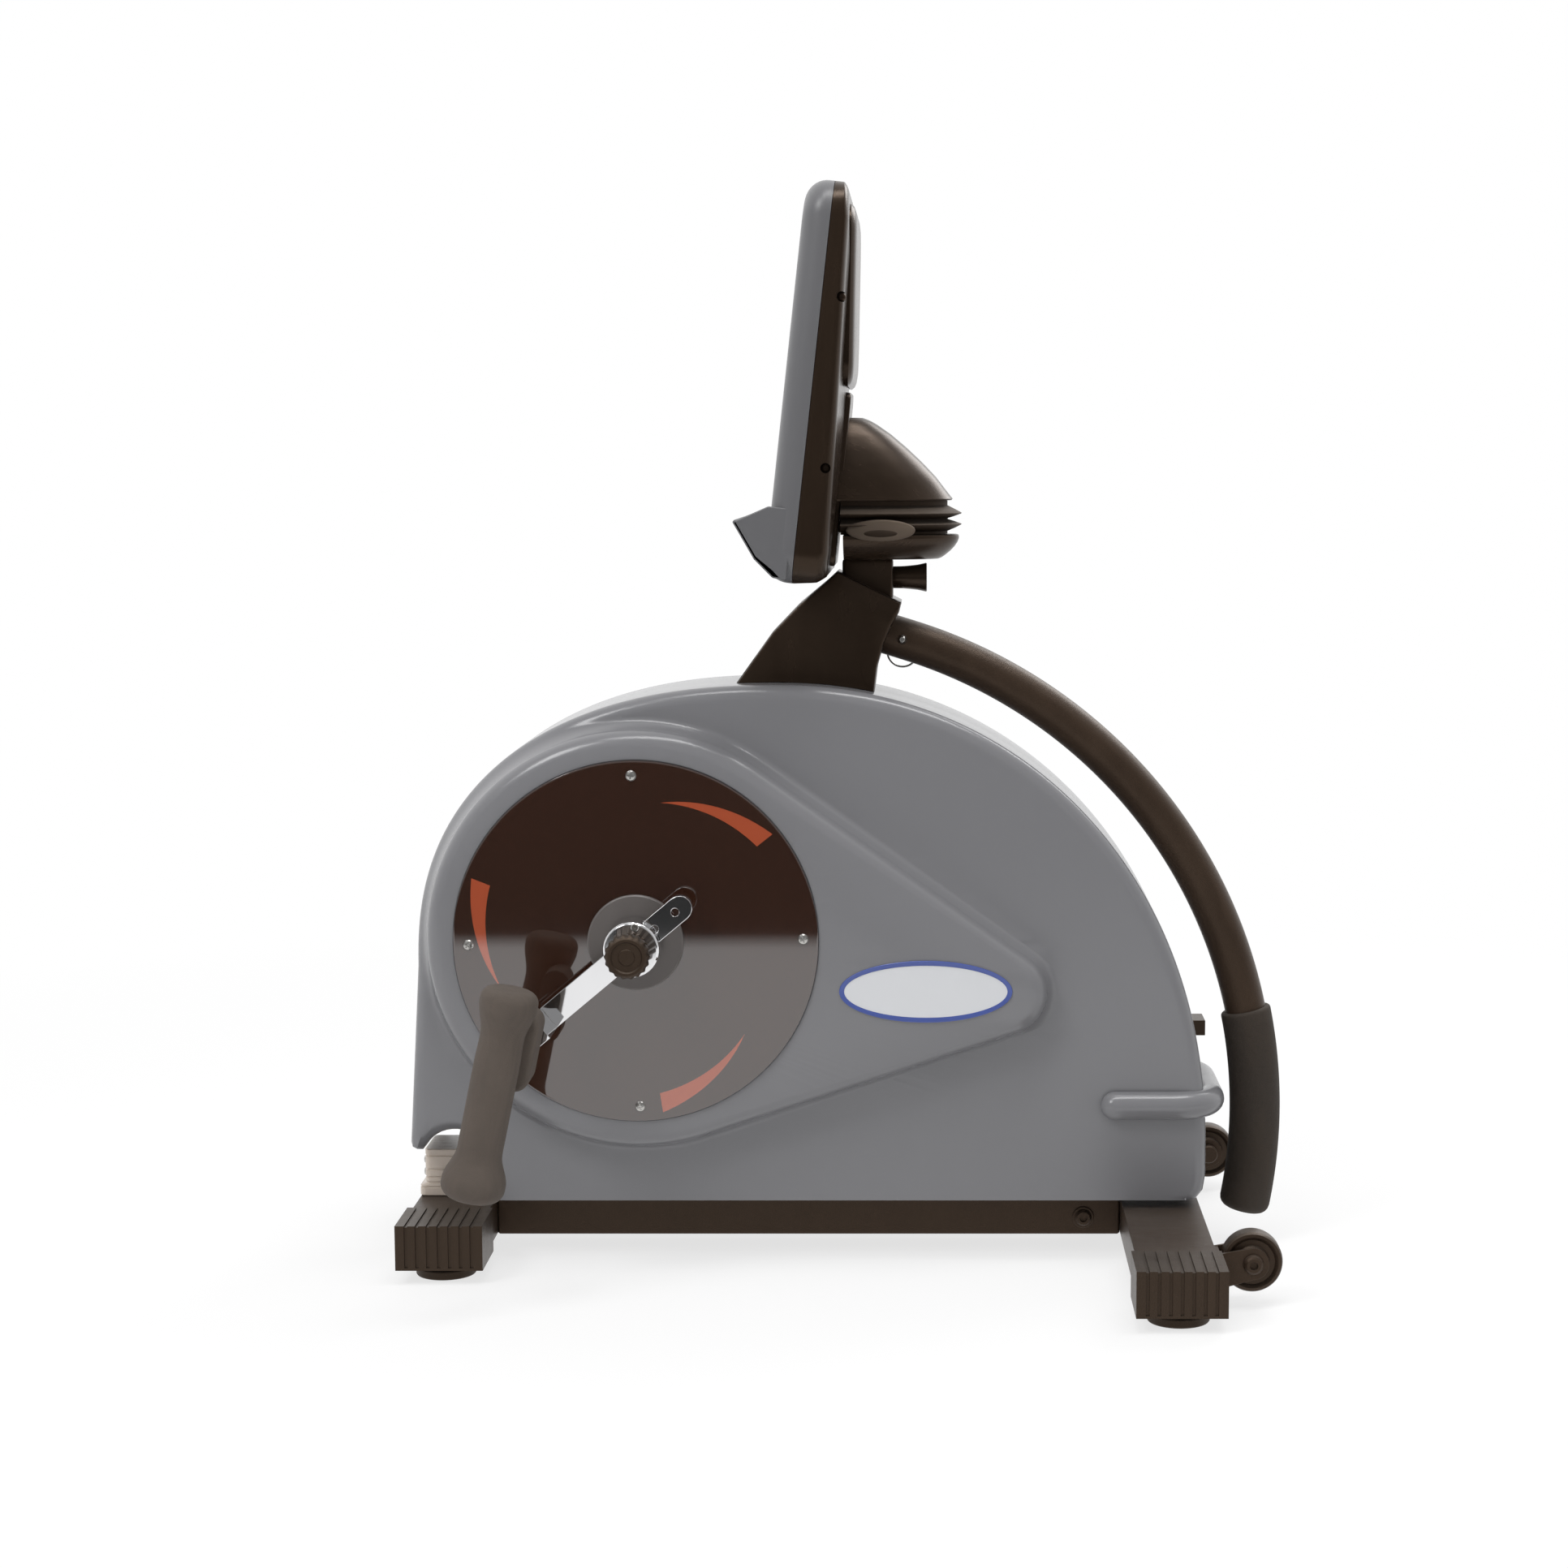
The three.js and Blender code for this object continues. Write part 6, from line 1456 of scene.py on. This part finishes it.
# Where each lamp stands, its size, its power, and the height that it aims at
LAMPS = {
    "Key": ((-1.5, -1.6, 2.3), (0.9, 0.9), 26, 0.35),
    "Overhead": ((0.3, -0.5, 2.6), (2.2, 0.5), 30, 0.3),
    "Rear": ((1.4, 1.6, 1.9), (1.2, 1.2), 20, 0.35),
}


def ray(tree, kind):
    return node(tree, "LightPath", output="Is %s Ray" % kind)


class ERGOMETER_OT_studio(bpy.types.Operator):
    """Sets the camera, the lamps, the even light and the floor"""

    bl_idname = "ergometer.studio"
    bl_label = "Studio"

    def execute(self, context):
        s = settings("studio")
        scene = context.scene
        scene.view_settings.view_transform = "Standard"
        deselect()
        pitch = math.pi / 2 - s.camera_pitch
        where = place(CAMERA_X, -s.camera_distance / MM, s.camera_height / MM)
        bpy.ops.object.camera_add(location=where, rotation=(pitch, 0, 0))
        camera = context.object
        camera.data.lens = s.focal_length
        camera.data.sensor_width = SENSOR_WIDTH
        camera.data.shift_x = CAMERA_SHIFT
        camera.data.clip_end = CAMERA_SIGHT
        scene.camera = camera
        self.floor()
        self.daylight(scene, s)
        for name, values in LAMPS.items():
            self.lamp(name, *values)
        return {"FINISHED"}

    def lamp(self, name, where, size, power, aim):
        deselect()
        bpy.ops.object.light_add(type="AREA", location=where)
        lamp = bpy.context.object
        lamp.name = name
        lamp.data.shape = "RECTANGLE"
        lamp.data.size, lamp.data.size_y = size
        lamp.data.energy = power
        lamp.rotation_euler = (Vector((0, 0, aim)) - Vector(where)).to_track_quat("-Z", "Y").to_euler()

    def floor(self):
        """A pale floor that looks evenly lit, and mirrors a dark room in front."""
        deselect()
        bpy.ops.mesh.primitive_circle_add(vertices=96, radius=FLOOR_RADIUS, fill_type="NGON")
        floor = named("floor")
        material, tree = new_material("Pale floor")
        tree.nodes.remove(tree.nodes["Principled BSDF"])
        where = node(tree, "TexCoord", output="Object")
        distance = node(tree, "VectorMath", where, operation="LENGTH", output="Value")
        fade = node(tree, "MapRange", distance, From_Min=0.5, From_Max=1.6, To_Min=0.72)
        matte = node(tree, "BsdfDiffuse", Color=(0.86, 0.86, 0.86))
        glow = node(tree, "Emission", Color=WHITE, Strength=1.0)
        seen = node(tree, "MixShader", maths(tree, "MULTIPLY", fade, ray(tree, "Camera")), matte, glow)
        across = node(tree, "SeparateXYZ", where, output="Y")
        room = node(tree, "MapRange", across, From_Min=-1.64, From_Max=-1.53, To_Min=0.03)
        mirrored = node(tree, "Emission", Color=WHITE, Strength=room)
        surface = node(tree, "MixShader", ray(tree, "Glossy"), seen, mirrored)
        feed(tree, tree.nodes["Material Output"], Surface=surface)
        floor.data.materials.append(material)

    def daylight(self, scene, s):
        """Even light, a plain white backdrop, and what shiny parts mirror."""
        scene.world = bpy.data.worlds.new("Daylight")
        scene.world.use_nodes = True
        tree = scene.world.node_tree
        even = feed(tree, tree.nodes["Background"], Color=WHITE, Strength=s.daylight).outputs[0]
        across = node(tree, "SeparateXYZ", node(tree, "TexCoord", output="Generated"), output="Y")
        reach = {"From_Min": -0.5, "From_Max": 0.4, "To_Min": s.room, "To_Max": s.backdrop}
        mirrored = node(tree, "Background", Color=WHITE, Strength=node(tree, "MapRange", across, **reach))
        lit = node(tree, "MixShader", ray(tree, "Glossy"), even, mirrored)
        plain = node(tree, "Background", Color=WHITE, Strength=1.0)
        sky = node(tree, "MixShader", ray(tree, "Camera"), lit, plain)
        feed(tree, tree.nodes["World Output"], Surface=sky)


class ERGOMETER_PT_panel(bpy.types.Panel):
    """Lists the steps and the sizes"""

    bl_label = "Arm ergometer"
    bl_idname = "ERGOMETER_PT_panel"
    bl_space_type = "VIEW_3D"
    bl_region_type = "UI"
    bl_category = "Ergometer"

    def draw(self, context):
        for step in STEPS:
            self.layout.operator(step.bl_idname)
        for name, group in SETTINGS.items():
            column = self.layout.column(align=True)
            column.label(text=name.capitalize())
            for key in group.__annotations__:
                column.prop(settings(name), key, text=key.replace("_", " ").capitalize())


STEPS = (
    ERGOMETER_OT_studio,
    ERGOMETER_OT_finishes,
    ERGOMETER_OT_frame,
    ERGOMETER_OT_casing,
    ERGOMETER_OT_disc,
    ERGOMETER_OT_cranks,
    ERGOMETER_OT_handles,
    ERGOMETER_OT_console,
    ERGOMETER_OT_tilt_joint,
    ERGOMETER_OT_support_arm,
    ERGOMETER_OT_running_gear,
)

CLASSES = (*SETTINGS.values(), *STEPS, ERGOMETER_PT_panel)


def register():
    for item in CLASSES:
        bpy.utils.register_class(item)
    for name, group in SETTINGS.items():
        setattr(bpy.types.Scene, "ergometer_" + name, PointerProperty(type=group))


def unregister():
    for name in SETTINGS:
        delattr(bpy.types.Scene, "ergometer_" + name)
    for item in reversed(CLASSES):
        bpy.utils.unregister_class(item)


def main():
    register()
    for step in STEPS:
        getattr(bpy.ops.ergometer, step.bl_idname.split(".")[1])()
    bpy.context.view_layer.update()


if __name__ == "__main__":
    main()
